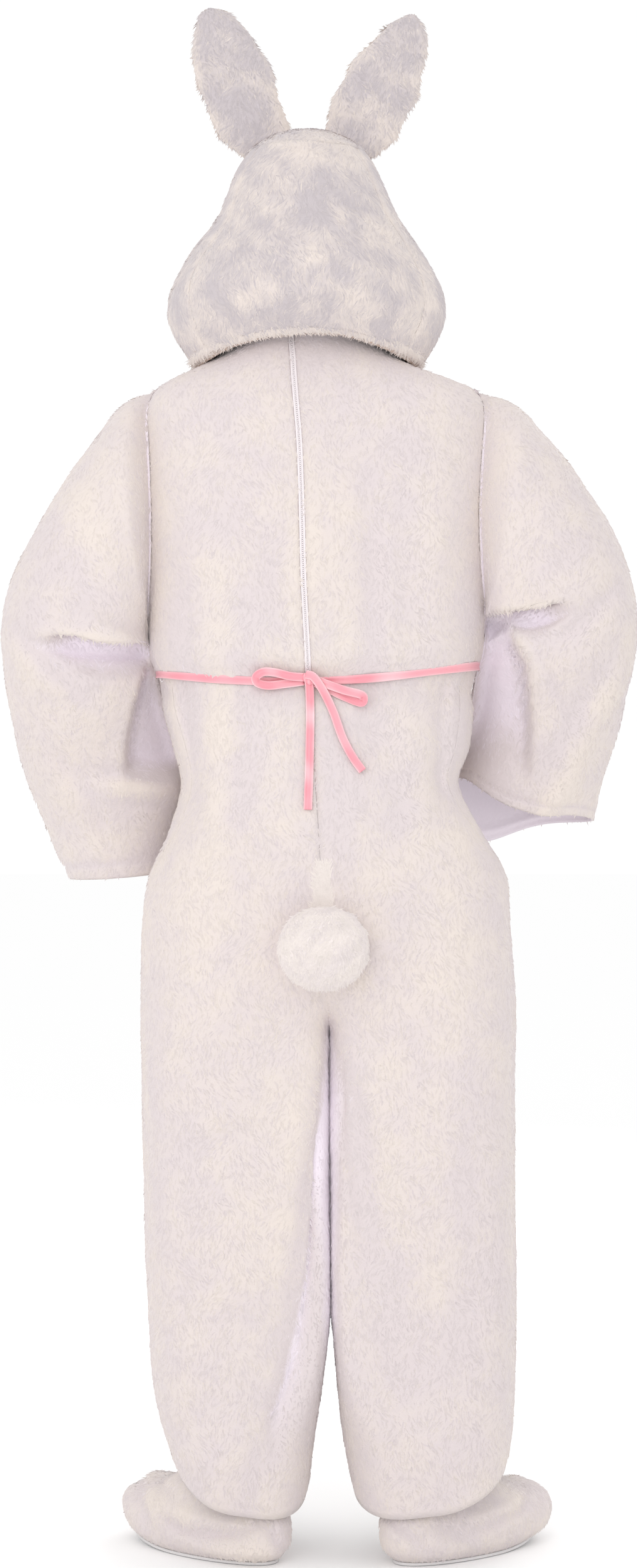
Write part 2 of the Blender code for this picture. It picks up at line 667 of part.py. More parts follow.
shares = (0.12, 0.38, 0.62, 0.84, 1.0)
ring_solid("head_crown", [crown_ring(share, 0.0) for share in shares]
           + [crown_ring(share, -HEAD_WALL) for share in reversed(shares)], "plush")


EAR_ROOT_GAP = 0.0008


def ear(side):
    """A flat padded ear, sewn to the crown piece."""
    _, root_middle, root_half = EARS[side][0]
    rings = []
    for share in (0.25, 0.50, 0.75):
        ring = []
        for k in range(16):
            angle = 2.0 * math.pi * k / 16
            x = root_middle + share * root_half * math.cos(angle)
            y = EAR_Y + 0.5 * share * EAR_THICK * math.sin(angle)
            ring.append(Vector((x, y, crown_height(x, y) + EAR_ROOT_GAP)))
        rings.append(ring)
    for row, (height, middle, half) in enumerate(EARS[side]):
        ring = []
        for k in range(16):
            angle = 2.0 * math.pi * k / 16
            x = middle + half * math.cos(angle)
            y = EAR_Y + 0.5 * EAR_THICK * min(1.0, half / 0.03) * math.sin(angle)
            ring.append(Vector((x, y, crown_height(x, y) + EAR_ROOT_GAP if row == 0 else height)))
        rings.append(ring)
    tip_x = EARS[side][-1][1]
    tip = [Vector((tip_x + EAR_TIP * (p.x - tip_x), 0.5 * (p.y + EAR_Y), p.z + EAR_TIP_RISE))
           for p in rings[-1]]
    return ring_solid(f"ear_{side}", rings + [tip], "plush")


for side in ("left", "right"):
    ear(side)


def face_depth(x, z):
    """Depth of the face gore's outside at a place on it."""
    half, _, front = read_table(HEAD, z)
    return front * math.sqrt(1.0 - ((x - HEAD_X) / half) ** 2)


MUZZLE = {"height": 1.550, "half_width": 0.068, "half_height": 0.046, "bulge": 0.034}
NOSE = {"height": 1.566, "half_width": 0.017, "half_height": 0.011, "bulge": 0.010}
EYE = {"height": 1.622, "half_width": 0.013, "half_height": 0.020, "bulge": 0.006, "apart": 0.034}


def muzzle_depth(x, z):
    """Depth of the muzzle's outside at a place on it."""
    across, up = (x - HEAD_X) / MUZZLE["half_width"], (z - MUZZLE["height"]) / MUZZLE["half_height"]
    reach = across ** 2 + up ** 2
    return face_depth(x, z) - MUZZLE["bulge"] * (1.0 - min(1.0, reach)) ** 0.6


def pad(name, carrier, x, size, colour, off=LAY, count=14):
    """A domed pad on a carrying face that looks to the front."""
    rings = []
    for back in (False, True):
        shares = (0.18, 0.55, 0.84, 1.0)
        for share in (reversed(shares) if back else shares):
            ring = []
            for k in range(count):
                angle = 2.0 * math.pi * k / count
                px = x + size["half_width"] * share * math.cos(angle)
                pz = size["height"] + size["half_height"] * share * math.sin(angle)
                dome = 0.0 if back else 0.001 + size["bulge"] * (1.0 - share * share) ** 0.6
                ring.append(Vector((px, carrier(px, pz) - off - dome, pz)))
            rings.append(ring)
    return ring_solid(name, rings, colour)


pad("muzzle", face_depth, HEAD_X, MUZZLE, "plush", off=0.0015)
pad("nose", muzzle_depth, HEAD_X, NOSE, "nose", off=0.0030)
pad("eye_left", face_depth, HEAD_X + EYE["apart"], EYE, "eye", off=0.0009)
pad("eye_right", face_depth, HEAD_X - EYE["apart"], EYE, "eye", off=0.0009)


# ---- zip ----

def back_depth(height):
    """Depth of the back panels at the centre seam."""
    return on_panel("suit_back", "left", height, 1.0, 0.0).y


def back_surface(x, height):
    """Depth of the back panels' outside at a place left or right of the seam."""
    seam = seam_x(height)
    side = "left" if x > seam else "right"
    low, high = 0.0, 1.0
    for _ in range(20):
        middle = 0.5 * (low + high)
        beyond = abs(on_panel("suit_back", side, height, middle, 0.0).x - seam) > abs(x - seam)
        low, high = (middle, high) if beyond else (low, middle)
    return on_panel("suit_back", side, height, low, 0.0).y


def seam_x(height):
    """Place of the centre-back seam."""
    return on_panel("suit_back", "left", height, 1.0, 0.0).x


for side, sign in (("left", 1.0), ("right", -1.0)):
    rings = []
    for height in [z for z in ROWS if ZIP_END < z < ZIP_TOP]:
        x, y = seam_x(height), back_depth(height)
        near, far = x + sign * 0.5 * SEAM, x + sign * (ZIP_HALF - SEAM)
        rings.append([Vector((near, y - TAPE_IN, height)), Vector((far, y - TAPE_IN, height)),
                      Vector((far, y + TAPE_OUT, height)), Vector((near, y + TAPE_OUT, height))])
    rings.sort(key=lambda ring: -ring[0].z)
    ring_solid(f"zip_tape_{side}", rings, "zip")


# ---- zip slider and its pull tab ----

SLIDER = Vector((0.0090, 0.0034, 0.0120))       # across, deep, tall
CHEEK = Vector((0.0011, 0.0052, 0.0040))
CHEEK_APART = 0.0031
CHEEK_SUNK = 0.0006
SLIDER_LAY = 0.0007                             # the slider rides this far off the back's surface
PIVOT_OUT = 0.0069                              # and its pin is this far off it
PIN_RADIUS = 0.0008
EYE_HOLE = 0.0012
EYE_RADIUS = 0.0023
TAB = Vector((0.0044, 0.0012, TAB_LENGTH))
PIVOT = Vector((seam_x(SLIDER_HEIGHT), back_depth(SLIDER_HEIGHT) + PIVOT_OUT, SLIDER_HEIGHT))


def box(name, centre, size):
    """A plain box."""
    bpy.ops.mesh.primitive_cube_add(size=1.0, location=centre)
    obj = bpy.context.object
    obj.name = name
    obj.scale = size
    bpy.ops.object.transform_apply(location=True, rotation=False, scale=True)
    return obj


def rod(name, centre, radius, length):
    """A round rod along X."""
    bpy.ops.mesh.primitive_cylinder_add(vertices=16, radius=radius, depth=length, location=centre,
                                        rotation=(0.0, math.pi / 2, 0.0))
    obj = bpy.context.object
    obj.name = name
    bpy.ops.object.transform_apply(location=True, rotation=True, scale=False)
    return obj


def combine(obj, other, operation):
    """Join another piece to this one, or cut it out, for good."""
    modifier = obj.modifiers.new(operation.lower(), "BOOLEAN")
    modifier.operation = operation
    modifier.object = other
    bpy.context.view_layer.objects.active = obj
    bpy.ops.object.modifier_apply(modifier=modifier.name)
    bpy.data.objects.remove(other)


slider_y = back_depth(SLIDER_HEIGHT) + SLIDER_LAY + 0.5 * SLIDER.y
slider = box("zip_slider", (PIVOT.x, slider_y, SLIDER_HEIGHT), SLIDER)
bevel = slider.modifiers.new("rounded", "BEVEL")
bevel.width = 0.0008
bevel.segments = 2
bpy.context.view_layer.objects.active = slider
bpy.ops.object.modifier_apply(modifier=bevel.name)
for sign in (-1.0, 1.0):
    cheek_y = slider_y + 0.5 * SLIDER.y + 0.5 * CHEEK.y - CHEEK_SUNK
    cheek = box("cheek", (PIVOT.x + sign * CHEEK_APART, cheek_y, SLIDER_HEIGHT), CHEEK)
    combine(slider, cheek, "UNION")
combine(slider, rod("pin", PIVOT, PIN_RADIUS, 2.0 * CHEEK_APART), "UNION")
finish(slider, "metal")

tab = box("zip_pull_tab", PIVOT - Vector((0.0, 0.0, 0.5 * TAB.z)), TAB)
combine(tab, rod("eye", PIVOT, EYE_RADIUS, TAB.x), "UNION")
combine(tab, rod("hole", PIVOT, EYE_HOLE, 2.0 * TAB.x), "DIFFERENCE")
finish(tab, "metal")


# ---- pompom tail ----

def tail_ball(count=14, bands=9):
    """The stuffed pompom, sewn to the seat over the centre seam."""
    seat = back_depth(TAIL["height"]) + LAY
    rings = []
    for band in range(bands):
        lean = math.pi * (band + 0.5) / bands
        ring = []
        for k in range(count):
            angle = 2.0 * math.pi * k / count
            out = math.sin(lean)
            x = seam_x(TAIL["height"]) + TAIL["half_width"] * out * math.cos(angle)
            z = TAIL["height"] + TAIL["half_height"] * out * math.sin(angle)
            y = max(seat + TAIL["half_depth"] * (1.0 - math.cos(lean)) - TAIL["pressed"],
                    back_surface(x, z) + TAIL_LAY)
            ring.append(Vector((x, y, z)))
        rings.append(ring)
    return ring_solid("tail_pompom", rings, "plush")


tail_ball()


# ---- satin ribbon ----

def ribbon_height(x):
    """The ribbon lies a little higher at the sides than at the centre back."""
    return WAIST + RIBBON_BOW * x * x - RIBBON_SLOPE * x


def belt_loop(half_width, lift):
    """A line around the waist, on the cloth, above or below the ribbon's middle."""
    path = [("suit_back", "left", True), ("suit_front", "left", False),
            ("suit_front", "right", True), ("suit_back", "right", False)]
    loop = []
    for panel, side, outwards in path:
        for c in range(ACROSS[panel] - 1):
            across = c / (ACROSS[panel] - 1)
            across = 1.0 - across if outwards else across
            x = on_panel(panel, side, WAIST, across, 0.0).x
            loop.append(on_panel(panel, side, ribbon_height(x) + half_width, across, lift))
    return loop


edges = [(-0.5, BELT_LAY), (0.5, BELT_LAY), (0.5, BELT_LAY + SATIN), (-0.5, BELT_LAY + SATIN)]
ring_solid("ribbon_belt", [belt_loop(RIBBON * share, lift) for share, lift in edges], "satin", joined=True)


def ribbon_strip(name, route, width=RIBBON):
    """A flat length of ribbon along a route of points, its face to the back."""
    rings = []
    for k, point in enumerate(route):
        along = (route[min(k + 1, len(route) - 1)] - route[max(k - 1, 0)]).normalized()
        across = along.cross(Vector((0.0, 1.0, 0.0))).normalized() * 0.5 * width
        face = across.cross(along).normalized() * SATIN
        rings.append([point - across, point + across, point + across + face, point - across + face])
    return ring_solid(name, rings, "satin")


def bezier(points, count):
    """A smooth route through a few points."""
    table = [(float(k), *point) for k, point in enumerate(points)]
    last = len(points) - 1
    return [Vector(read_table(table, last * k / (count - 1))) for k in range(count)]


KNOT = Vector((0.0115, 0.0, 1.0655))
KNOT_SIZE = (0.0085, 0.0050, 0.0080)      # half sizes
KNOT_END = 0.45                           # size of the knot's ends against its middle
KNOT.y = back_depth(KNOT.z) + BELT_LAY + SATIN + LAY + KNOT_SIZE[1]
# Bow loops, from the knot out and back, as offsets from the knot: across, off the back, up.
BOW = {
    "left": [
        (0.0096, -0.0015, 0.0020), (0.0280, 0.0020, 0.0070), (0.0480, 0.0050, 0.0105),
        (0.0610, 0.0040, 0.0050), (0.0625, -0.0005, -0.0030), (0.0540, -0.0020, -0.0085),
        (0.0340, -0.0022, -0.0072), (0.0096, -0.0026, -0.0030),
    ],
    "right": [
        (-0.0098, 0.0018, 0.0015), (-0.0280, 0.0050, -0.0060), (-0.0480, 0.0065, -0.0160),
        (-0.0640, 0.0050, -0.0250), (-0.0655, 0.0010, -0.0330), (-0.0560, -0.0010, -0.0330),
        (-0.0340, -0.0010, -0.0200), (-0.0098, -0.0014, -0.0050),
    ],
}
# The ribbon's two hanging ends, as offsets from the knot: across and down.
TAILS = {
    "long": [
        (0.0000, -0.0086), (-0.0006, -0.0360), (0.0010, -0.0700), (0.0002, -0.1050), (-0.0012, -0.1540),
    ],
    "short": [
        (-0.0045, -0.0088), (-0.0210, -0.0330), (-0.0360, -0.0640), (-0.0480, -0.0900), (-0.0610, -0.1090),
    ],
}
TAIL_LAYS = {"long": (0.0042, -0.0004), "short": (0.0014, 0.0040)}   # off the back, and back from the knot
TAIL_FALL = 0.010                                                    # an end meets the back within this


def knot():
    """The bow's knot, a small wrapped pad of ribbon."""
    rings = []
    for share in (-0.96, -0.6, 0.0, 0.6, 0.96):
        size = max(math.sqrt(1.0 - share * share), KNOT_END)
        ring = []
        for k in range(12):
            angle = 2.0 * math.pi * k / 12
            y, z = KNOT_SIZE[1] * size * math.cos(angle), KNOT_SIZE[2] * size * math.sin(angle)
            ring.append(KNOT + Vector((KNOT_SIZE[0] * share, y, z)))
        rings.append(ring)
    return ring_solid("ribbon_knot", rings, "satin")


knot()
for side, offsets in BOW.items():
    ribbon_strip(f"ribbon_loop_{side}", [KNOT + point for point in bezier(offsets, 18)])
for length, offsets in TAILS.items():
    route = []
    for across, down in bezier(offsets, 14):
        x, z = KNOT.x + across, KNOT.z + down
        lying, tuck = TAIL_LAYS[length]
        hanging = math.exp(-(abs(down) - KNOT_SIZE[2]) / TAIL_FALL)
        surface = back_surface(x, z)
        route.append(Vector((x, surface + lying + (KNOT.y - tuck - surface - lying) * hanging, z)))
    ribbon_strip(f"ribbon_tail_{length}", route)
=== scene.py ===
import math

import bpy
import numpy as np
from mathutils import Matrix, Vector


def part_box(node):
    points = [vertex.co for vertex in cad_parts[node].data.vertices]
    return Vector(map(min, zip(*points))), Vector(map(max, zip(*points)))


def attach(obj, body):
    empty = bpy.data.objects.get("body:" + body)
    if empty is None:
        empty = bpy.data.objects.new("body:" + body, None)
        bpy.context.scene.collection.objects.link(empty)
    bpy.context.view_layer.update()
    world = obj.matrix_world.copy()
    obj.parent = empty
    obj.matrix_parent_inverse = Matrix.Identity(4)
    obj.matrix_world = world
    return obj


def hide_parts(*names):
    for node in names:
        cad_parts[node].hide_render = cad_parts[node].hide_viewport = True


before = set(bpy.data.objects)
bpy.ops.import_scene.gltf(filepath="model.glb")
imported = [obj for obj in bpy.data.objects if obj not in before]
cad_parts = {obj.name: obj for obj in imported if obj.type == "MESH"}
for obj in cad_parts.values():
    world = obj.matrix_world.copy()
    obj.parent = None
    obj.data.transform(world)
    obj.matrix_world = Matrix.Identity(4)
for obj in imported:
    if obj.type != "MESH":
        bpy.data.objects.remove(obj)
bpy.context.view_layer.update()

# ---- Studio ----
# A level camera four metres behind the wearer, a plain white floor that runs out of sight, and soft light
# from a large box beside the camera with white all round.
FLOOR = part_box("foot_sole_left")[0][2]
LENS_HEIGHT = 0.94
CAMERA_DISTANCE = 4.0
PICTURE_HEIGHT = 1.925
world = bpy.data.worlds.new("white_studio")
bpy.context.scene.world = world
world.use_nodes = True
world.node_tree.nodes["Background"].inputs["Color"].default_value = (1.0, 1.0, 1.0, 1.0)
world.node_tree.nodes["Background"].inputs["Strength"].default_value = 1.02
bpy.context.scene.view_settings.view_transform = "Standard"

camera = bpy.data.objects.new("camera", bpy.data.cameras.new("camera"))
bpy.context.collection.objects.link(camera)
camera.data.sensor_fit = "VERTICAL"
camera.data.sensor_height = 36.0
camera.data.lens = 36.0 / (PICTURE_HEIGHT / CAMERA_DISTANCE)
camera.location = (0.0, CAMERA_DISTANCE, FLOOR + LENS_HEIGHT)
camera.rotation_euler = (math.radians(90.0), 0.0, math.radians(180.0))
bpy.context.scene.camera = camera

bpy.ops.mesh.primitive_plane_add(size=60.0, location=(0.0, 0.0, FLOOR - 0.001))
floor = bpy.context.object
floor.name = "floor"
floor_paint = bpy.data.materials.new("floor_white")
floor_paint.use_nodes = True
floor_shader = floor_paint.node_tree.nodes["Principled BSDF"]
floor_shader.inputs["Base Color"].default_value = (0.97, 0.97, 0.97, 1.0)
floor_shader.inputs["Roughness"].default_value = 1.0
floor_shader.inputs["Specular IOR Level"].default_value = 0.0
floor.data.materials.append(floor_paint)

for name, place, aim, size, power in [
    ("softbox_by_camera", (0.9, 3.9, 0.5), (0.0, 0.0, -0.5), 2.8, 50.0),
    ("softbox_front", (-1.5, -3.2, 1.2), (0.0, 0.0, -0.5), 2.4, 26.0),
]:
    light = bpy.data.objects.new(name, bpy.data.lights.new(name, "AREA"))
    light.data.size = size
    light.data.energy = power
    light.location = place
    away = np.array(place) - np.array(aim)
    light.rotation_euler = (math.atan2(math.hypot(away[0], away[1]), away[2]), 0.0,
                            math.atan2(away[1], away[0]) + math.pi / 2)
    bpy.context.collection.objects.link(light)

# ---- Suit body ----
# The one-piece suit: two back and two front panels of white short-pile plush, each cut in one from the
# collar to the leg hem, and sewn at the shoulders, sides, inseams and centre front.
PLUSH = 0.003
PILE_RISE = 0.0014
SEAM = 0.0006
SQUARE = 2.6
BODY = [
    # height  seam    left   right    back   front  side seam, degrees to the back
    (1.530, 0.034, 0.084, -0.048, 0.060, -0.082, 0),
    (1.505, 0.034, 0.088, -0.054, 0.0606, -0.085, 0),
    (1.480, 0.033, 0.104, -0.075, 0.066, -0.090, 0),
    (1.456, 0.031, 0.136, -0.108, 0.079, -0.098, 0),
    (1.440, 0.030, 0.170, -0.150, 0.086, -0.106, 0),
    (1.425, 0.029, 0.196, -0.188, 0.091, -0.111, 0),
    (1.400, 0.027, 0.212, -0.207, 0.098, -0.116, 0),
    (1.350, 0.023, 0.217, -0.212, 0.106, -0.124, 0),
    (1.270, 0.020, 0.216, -0.210, 0.113, -0.132, 0),
    (1.190, 0.018, 0.213, -0.208, 0.114, -0.136, 0),
    (1.130, 0.015, 0.210, -0.205, 0.118, -0.138, 6),
    (1.092, 0.013, 0.206, -0.199, 0.121, -0.140, 16),
    (1.062, 0.012, 0.193, -0.187, 0.106, -0.124, 24),
    (1.030, 0.010, 0.191, -0.190, 0.114, -0.128, 27),
    (0.985, 0.008, 0.178, -0.185, 0.119, -0.126, 28),
    (0.940, 0.004, 0.168, -0.172, 0.125, -0.122, 26),
    (0.885, 0.000, 0.182, -0.200, 0.131, -0.122, 20),
    (0.825, -0.003, 0.209, -0.230, 0.135, -0.122, 10),
    (0.765, -0.006, 0.217, -0.236, 0.134, -0.120, 3),
    (0.725, -0.007, 0.218, -0.239, 0.131, -0.118, 1),
    (0.695, -0.010, 0.218, -0.241, 0.128, -0.116, 0),
    (0.666, -0.012, 0.218, -0.242, 0.124, -0.114, 0),
    (0.640, -0.013, 0.218, -0.242, 0.121, -0.112, 0),
    (0.560, -0.013, 0.217, -0.241, 0.117, -0.108, 0),
    (0.420, -0.014, 0.214, -0.242, 0.113, -0.104, 0),
    (0.300, -0.015, 0.210, -0.243, 0.112, -0.102, 0),
    (0.210, -0.014, 0.204, -0.242, 0.113, -0.104, 0),
    (0.130, -0.012, 0.193, -0.239, 0.112, -0.108, 0),
    (0.048, -0.012, 0.176, -0.231, 0.106, -0.106, 0),
]
RISE = (0.790, 0.640)
LEG_PARTING = [(0.640, 0.0001, 0.0001), (0.300, 0.0006, 0.0006), (0.210, 0.009, 0.009),
               (0.130, 0.017, 0.018), (0.048, 0.024, 0.030)]
# The long fold on the back of each leg, from the crotch to the hem: height and across of its edge.
LEG_FOLDS = {
    "left": [(0.184, 0.0583), (0.258, 0.0336), (0.339, 0.0172), (0.463, 0.0007), (0.545, -0.0075),
             (0.600, -0.0134)],
    "right": [(0.210, -0.1060), (0.238, -0.0986), (0.327, -0.0725), (0.422, -0.0605), (0.545, -0.0403),
              (0.635, -0.0172)],
}
# How far the leg hems lift off their level: on average, more at the outer side, more at the front and less at
# the back. The lift fades out at the height named last.
HEM_RISE = {"mean": 0.056, "outer": 0.020, "front": 0.040, "from": 0.300}
ARMHOLE = {"height": 1.274, "half_height": 0.146, "half_depth": 0.052}
SLEEVE_ROUND = 96
SINK = 0.0012  # the backing lies this far under the tips of the pile
ZIP_HALF = 0.0040
ZIP_END = 1.058
WAIST = 1.063
# Creases on the back of the suit, as lines from one end to the other: across, height, across, height, width,
# depth.
BACK_CREASES = [
    (-0.012, 0.585, 0.002, 0.470, 0.016, -0.010),
    (0.002, 0.470, 0.030, 0.290, 0.018, -0.012),
    (0.030, 0.290, 0.062, 0.150, 0.022, -0.010),
    (0.022, 0.560, 0.060, 0.250, 0.040, 0.007),
    (-0.022, 0.620, -0.048, 0.520, 0.018, -0.008),
    (-0.048, 0.520, -0.078, 0.340, 0.020, -0.010),
    (-0.078, 0.340, -0.105, 0.210, 0.024, -0.008),
    (-0.060, 0.560, -0.110, 0.340, 0.040, 0.006),
    (0.165, 1.055, 0.166, 0.930, 0.012, -0.006),
    (-0.148, 1.060, -0.150, 0.930, 0.012, -0.006),
    (0.110, 1.030, 0.130, 0.900, 0.018, 0.004),
    (-0.105, 1.030, -0.120, 0.900, 0.020, 0.004),
    (0.060, 1.040, 0.070, 0.920, 0.016, -0.003),
    (-0.055, 1.045, -0.060, 0.930, 0.016, -0.003),
    (0.110, 1.360, 0.090, 1.120, 0.030, -0.004),
    (-0.090, 1.350, -0.080, 1.110, 0.030, -0.004),
    (0.150, 1.250, 0.135, 1.100, 0.025, 0.004),
    (-0.140, 1.260, -0.130, 1.100, 0.025, 0.004),
    (0.150, 0.820, 0.135, 0.600, 0.035, 0.004),
    (-0.165, 0.820, -0.150, 0.560, 0.035, 0.004),
    (0.165, 0.560, 0.150, 0.300, 0.026, -0.004),
    (-0.190, 0.520, -0.180, 0.240, 0.026, -0.004),
    (-0.058, 1.290, -0.070, 1.080, 0.018, -0.005),
    (-0.084, 1.260, -0.086, 1.085, 0.010, 0.004),
    (0.052, 1.200, 0.040, 1.078, 0.014, -0.004),
    (0.020, 1.180, 0.016, 1.080, 0.010, 0.003),
    (-0.120, 1.240, -0.118, 1.090, 0.016, -0.003),
    (0.120, 0.905, 0.110, 0.800, 0.010, 0.004),
    (0.090, 0.990, 0.100, 0.860, 0.014, -0.004),
    (-0.070, 1.010, -0.115, 0.890, 0.026, -0.006),
    (-0.040, 1.040, -0.045, 0.960, 0.012, 0.003),
    (0.036, 0.600, 0.126, 0.530, 0.014, 0.005),
    (0.050, 0.575, 0.140, 0.500, 0.016, -0.004),
    (-0.077, 0.330, -0.139, 0.334, 0.008, -0.003),
    (-0.080, 0.320, -0.135, 0.322, 0.008, 0.003),
    (0.075, 0.310, 0.135, 0.300, 0.010, -0.003),
    (0.140, 0.190, 0.170, 0.150, 0.014, -0.004),
    (0.090, 0.160, 0.120, 0.080, 0.018, 0.004),
    (-0.120, 0.170, -0.150, 0.090, 0.018, 0.004),
]
FRONT_CREASES = [
    (0.020, 0.600, 0.080, 0.320, 0.022, -0.009),
    (-0.040, 0.600, -0.110, 0.330, 0.022, -0.009),
    (0.090, 1.050, 0.120, 0.900, 0.016, -0.004),
    (-0.080, 1.050, -0.110, 0.900, 0.016, -0.004),
    (0.040, 1.045, 0.050, 0.920, 0.014, -0.003),
    (-0.030, 1.045, -0.040, 0.920, 0.014, -0.003),
    (0.100, 1.330, 0.080, 1.110, 0.030, -0.004),
    (-0.080, 1.330, -0.060, 1.110, 0.030, -0.004),
    (0.120, 0.540, 0.130, 0.280, 0.030, 0.005),
    (-0.150, 0.540, -0.160, 0.280, 0.030, 0.005),
]


def smooth(t):
    """Ease from 0 to 1."""
    t = np.clip(t, 0.0, 1.0)
    return t * t * (3.0 - 2.0 * t)


def read_table(table, height):
    """Every column of a table at a height, following a smooth curve through its rows."""
    rows = sorted(table)
    if height <= rows[0][0]:
        return rows[0][1:]
    if height >= rows[-1][0]:
        return rows[-1][1:]
    k = next(i for i in range(len(rows) - 1) if rows[i + 1][0] >= height)
    low, high = rows[k], rows[k + 1]
    before, after = rows[max(k - 1, 0)], rows[min(k + 2, len(rows) - 1)]
    span = high[0] - low[0]
    t = (height - low[0]) / span
    values = []
    for c in range(1, len(low)):
        slope_low = (high[c] - before[c]) / (high[0] - before[0]) * span
        slope_high = (after[c] - low[c]) / (after[0] - low[0]) * span
        values.append((2 * t**3 - 3 * t**2 + 1) * low[c] + (t**3 - 2 * t**2 + t) * slope_low
                      + (3 * t**2 - 2 * t**3) * high[c] + (t**3 - t**2) * slope_high)
    return values


def grid_normals(grid, outwards, closed_ring=False):
    """Unit normals of a grid of points, turned to the side that outwards names."""
    down = np.gradient(grid, axis=0)
    along = np.gradient(grid, axis=1)
    if closed_ring:
        along = 0.5 * (np.roll(grid, -1, axis=1) - np.roll(grid, 1, axis=1))
    normal = np.cross(down, along)
    normal /= np.linalg.norm(normal, axis=2, keepdims=True) + 1e-12
    flip = np.sign(np.sum(normal * outwards, axis=2, keepdims=True))
    flip[flip == 0] = 1.0
    return normal * (flip if np.sum(flip) == 0 else np.sign(np.sum(flip)))


def wander(points, size, seed):
    """A soft uneven value from about -1 to 1 that changes over about this size."""
    rng = np.random.default_rng(seed)
    total = np.zeros(points.shape[:-1])
    for _ in range(6):
        wave = rng.normal(size=3)
        wave *= rng.uniform(0.6, 1.5) / (np.linalg.norm(wave) * size) * math.tau / 2.0
        total += np.sin(points @ wave + rng.uniform(0.0, math.tau))
    return total / 2.6


def crease_lift(across, height, creases):
    """How far creases lift or sink the cloth, and the same as a share for its tint: painted highlight on
    lifted creases, painted shade in sunk ones.
    """
    total = np.zeros_like(across)
    for x0, z0, x1, z1, width, depth in creases:
        run = np.array([x1 - x0, z1 - z0])
        t = np.clip(((across - x0) * run[0] + (height - z0) * run[1]) / run.dot(run), -0.25, 1.25)
        away = np.hypot(across - x0 - t * run[0], height - z0 - t * run[1]) / width
        fade = smooth((t + 0.25) / 0.5) * smooth((1.25 - t) / 0.5)
        total += depth * np.exp(-away**2) * (0.35 + 0.65 * fade)
    return total


def new_piece(name, verts, faces, material, body="suit", slot="plush", replaced=(), tint=None, normals=None):
    """A mesh piece of the costume, riding on its body."""
    mesh = bpy.data.meshes.new(name)
    verts = np.asarray(verts, dtype=np.float32)
    faces = np.asarray(faces, dtype=np.int32)
    mesh.vertices.add(len(verts))
    mesh.vertices.foreach_set("co", verts.ravel())
    mesh.loops.add(faces.size)
    mesh.loops.foreach_set("vertex_index", faces.ravel())
    mesh.polygons.add(len(faces))
    mesh.polygons.foreach_set("loop_start", np.arange(0, faces.size, faces.shape[1], dtype=np.int32))
    mesh.update(calc_edges=True)
    mesh.validate()
    mesh.shade_smooth()
    if tint is not None:
        layer = mesh.attributes.new("tint", "FLOAT", "POINT")
        layer.data.foreach_set("value", np.asarray(tint, dtype=np.float32))
    if normals is not None:
        mesh.normals_split_custom_set(np.asarray(normals, dtype=np.float32))
    mesh.materials.append(material)
    obj = bpy.data.objects.new(name, mesh)
    bpy.context.collection.objects.link(obj)
    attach(obj, body)
    if replaced:
        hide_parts(*replaced)
    return obj


def shell(name, outer, normals, wall, material, tint, closed_ring=False, inside=None, **facts):
    """A cloth wall: a grid of points on its outside, the same grid moved in, and rims between them."""
    rows, cols = outer.shape[:2]
    inner = outer - normals * wall
    verts = np.concatenate([outer.reshape(-1, 3), inner.reshape(-1, 3)])
    index = np.arange(rows * cols).reshape(rows, cols)
    after = np.roll(index, -1, axis=1) if closed_ring else index[:, 1:]
    here = index if closed_ring else index[:, :-1]
    faces = np.stack([here[:-1], after[:-1], after[1:], here[1:]], axis=-1).reshape(-1, 4)
    middle = rows // 2
    sample = faces[(middle * here.shape[1]) % len(faces)]
    corner = verts[sample]
    facing = np.cross(corner[1] - corner[0], corner[3] - corner[0]).dot(normals.reshape(-1, 3)[sample[0]])
    if facing < 0:
        faces = faces[:, ::-1]
    far = faces[:, ::-1] + rows * cols
    edges = []
    for line, side in ((index[0], True), (index[-1], False)):
        pair = np.stack([line, np.roll(line, -1)], axis=-1)
        if not closed_ring:
            pair = pair[:-1]
        edges.append(pair if side else pair[:, ::-1])
    if not closed_ring:
        for line, side in ((index[:, 0], False), (index[:, -1], True)):
            pair = np.stack([line[:-1], line[1:]], axis=-1)
            edges.append(pair if side else pair[:, ::-1])
    edges = np.concatenate(edges)
    rims = np.stack([edges[:, 1], edges[:, 0], edges[:, 0] + rows * cols, edges[:, 1] + rows * cols], axis=-1)
    if facing < 0:
        rims = rims[:, ::-1]
    # An inside value gives the whole inner wall one tint; the sleeves use it for the light lavender painted
    # shade colour.
    within = tint if inside is None else np.full(tint.shape, inside)
    both = np.concatenate([tint.ravel(), within.ravel()])
    return new_piece(name, verts, np.concatenate([faces, far, rims]), material, tint=both, **facts)


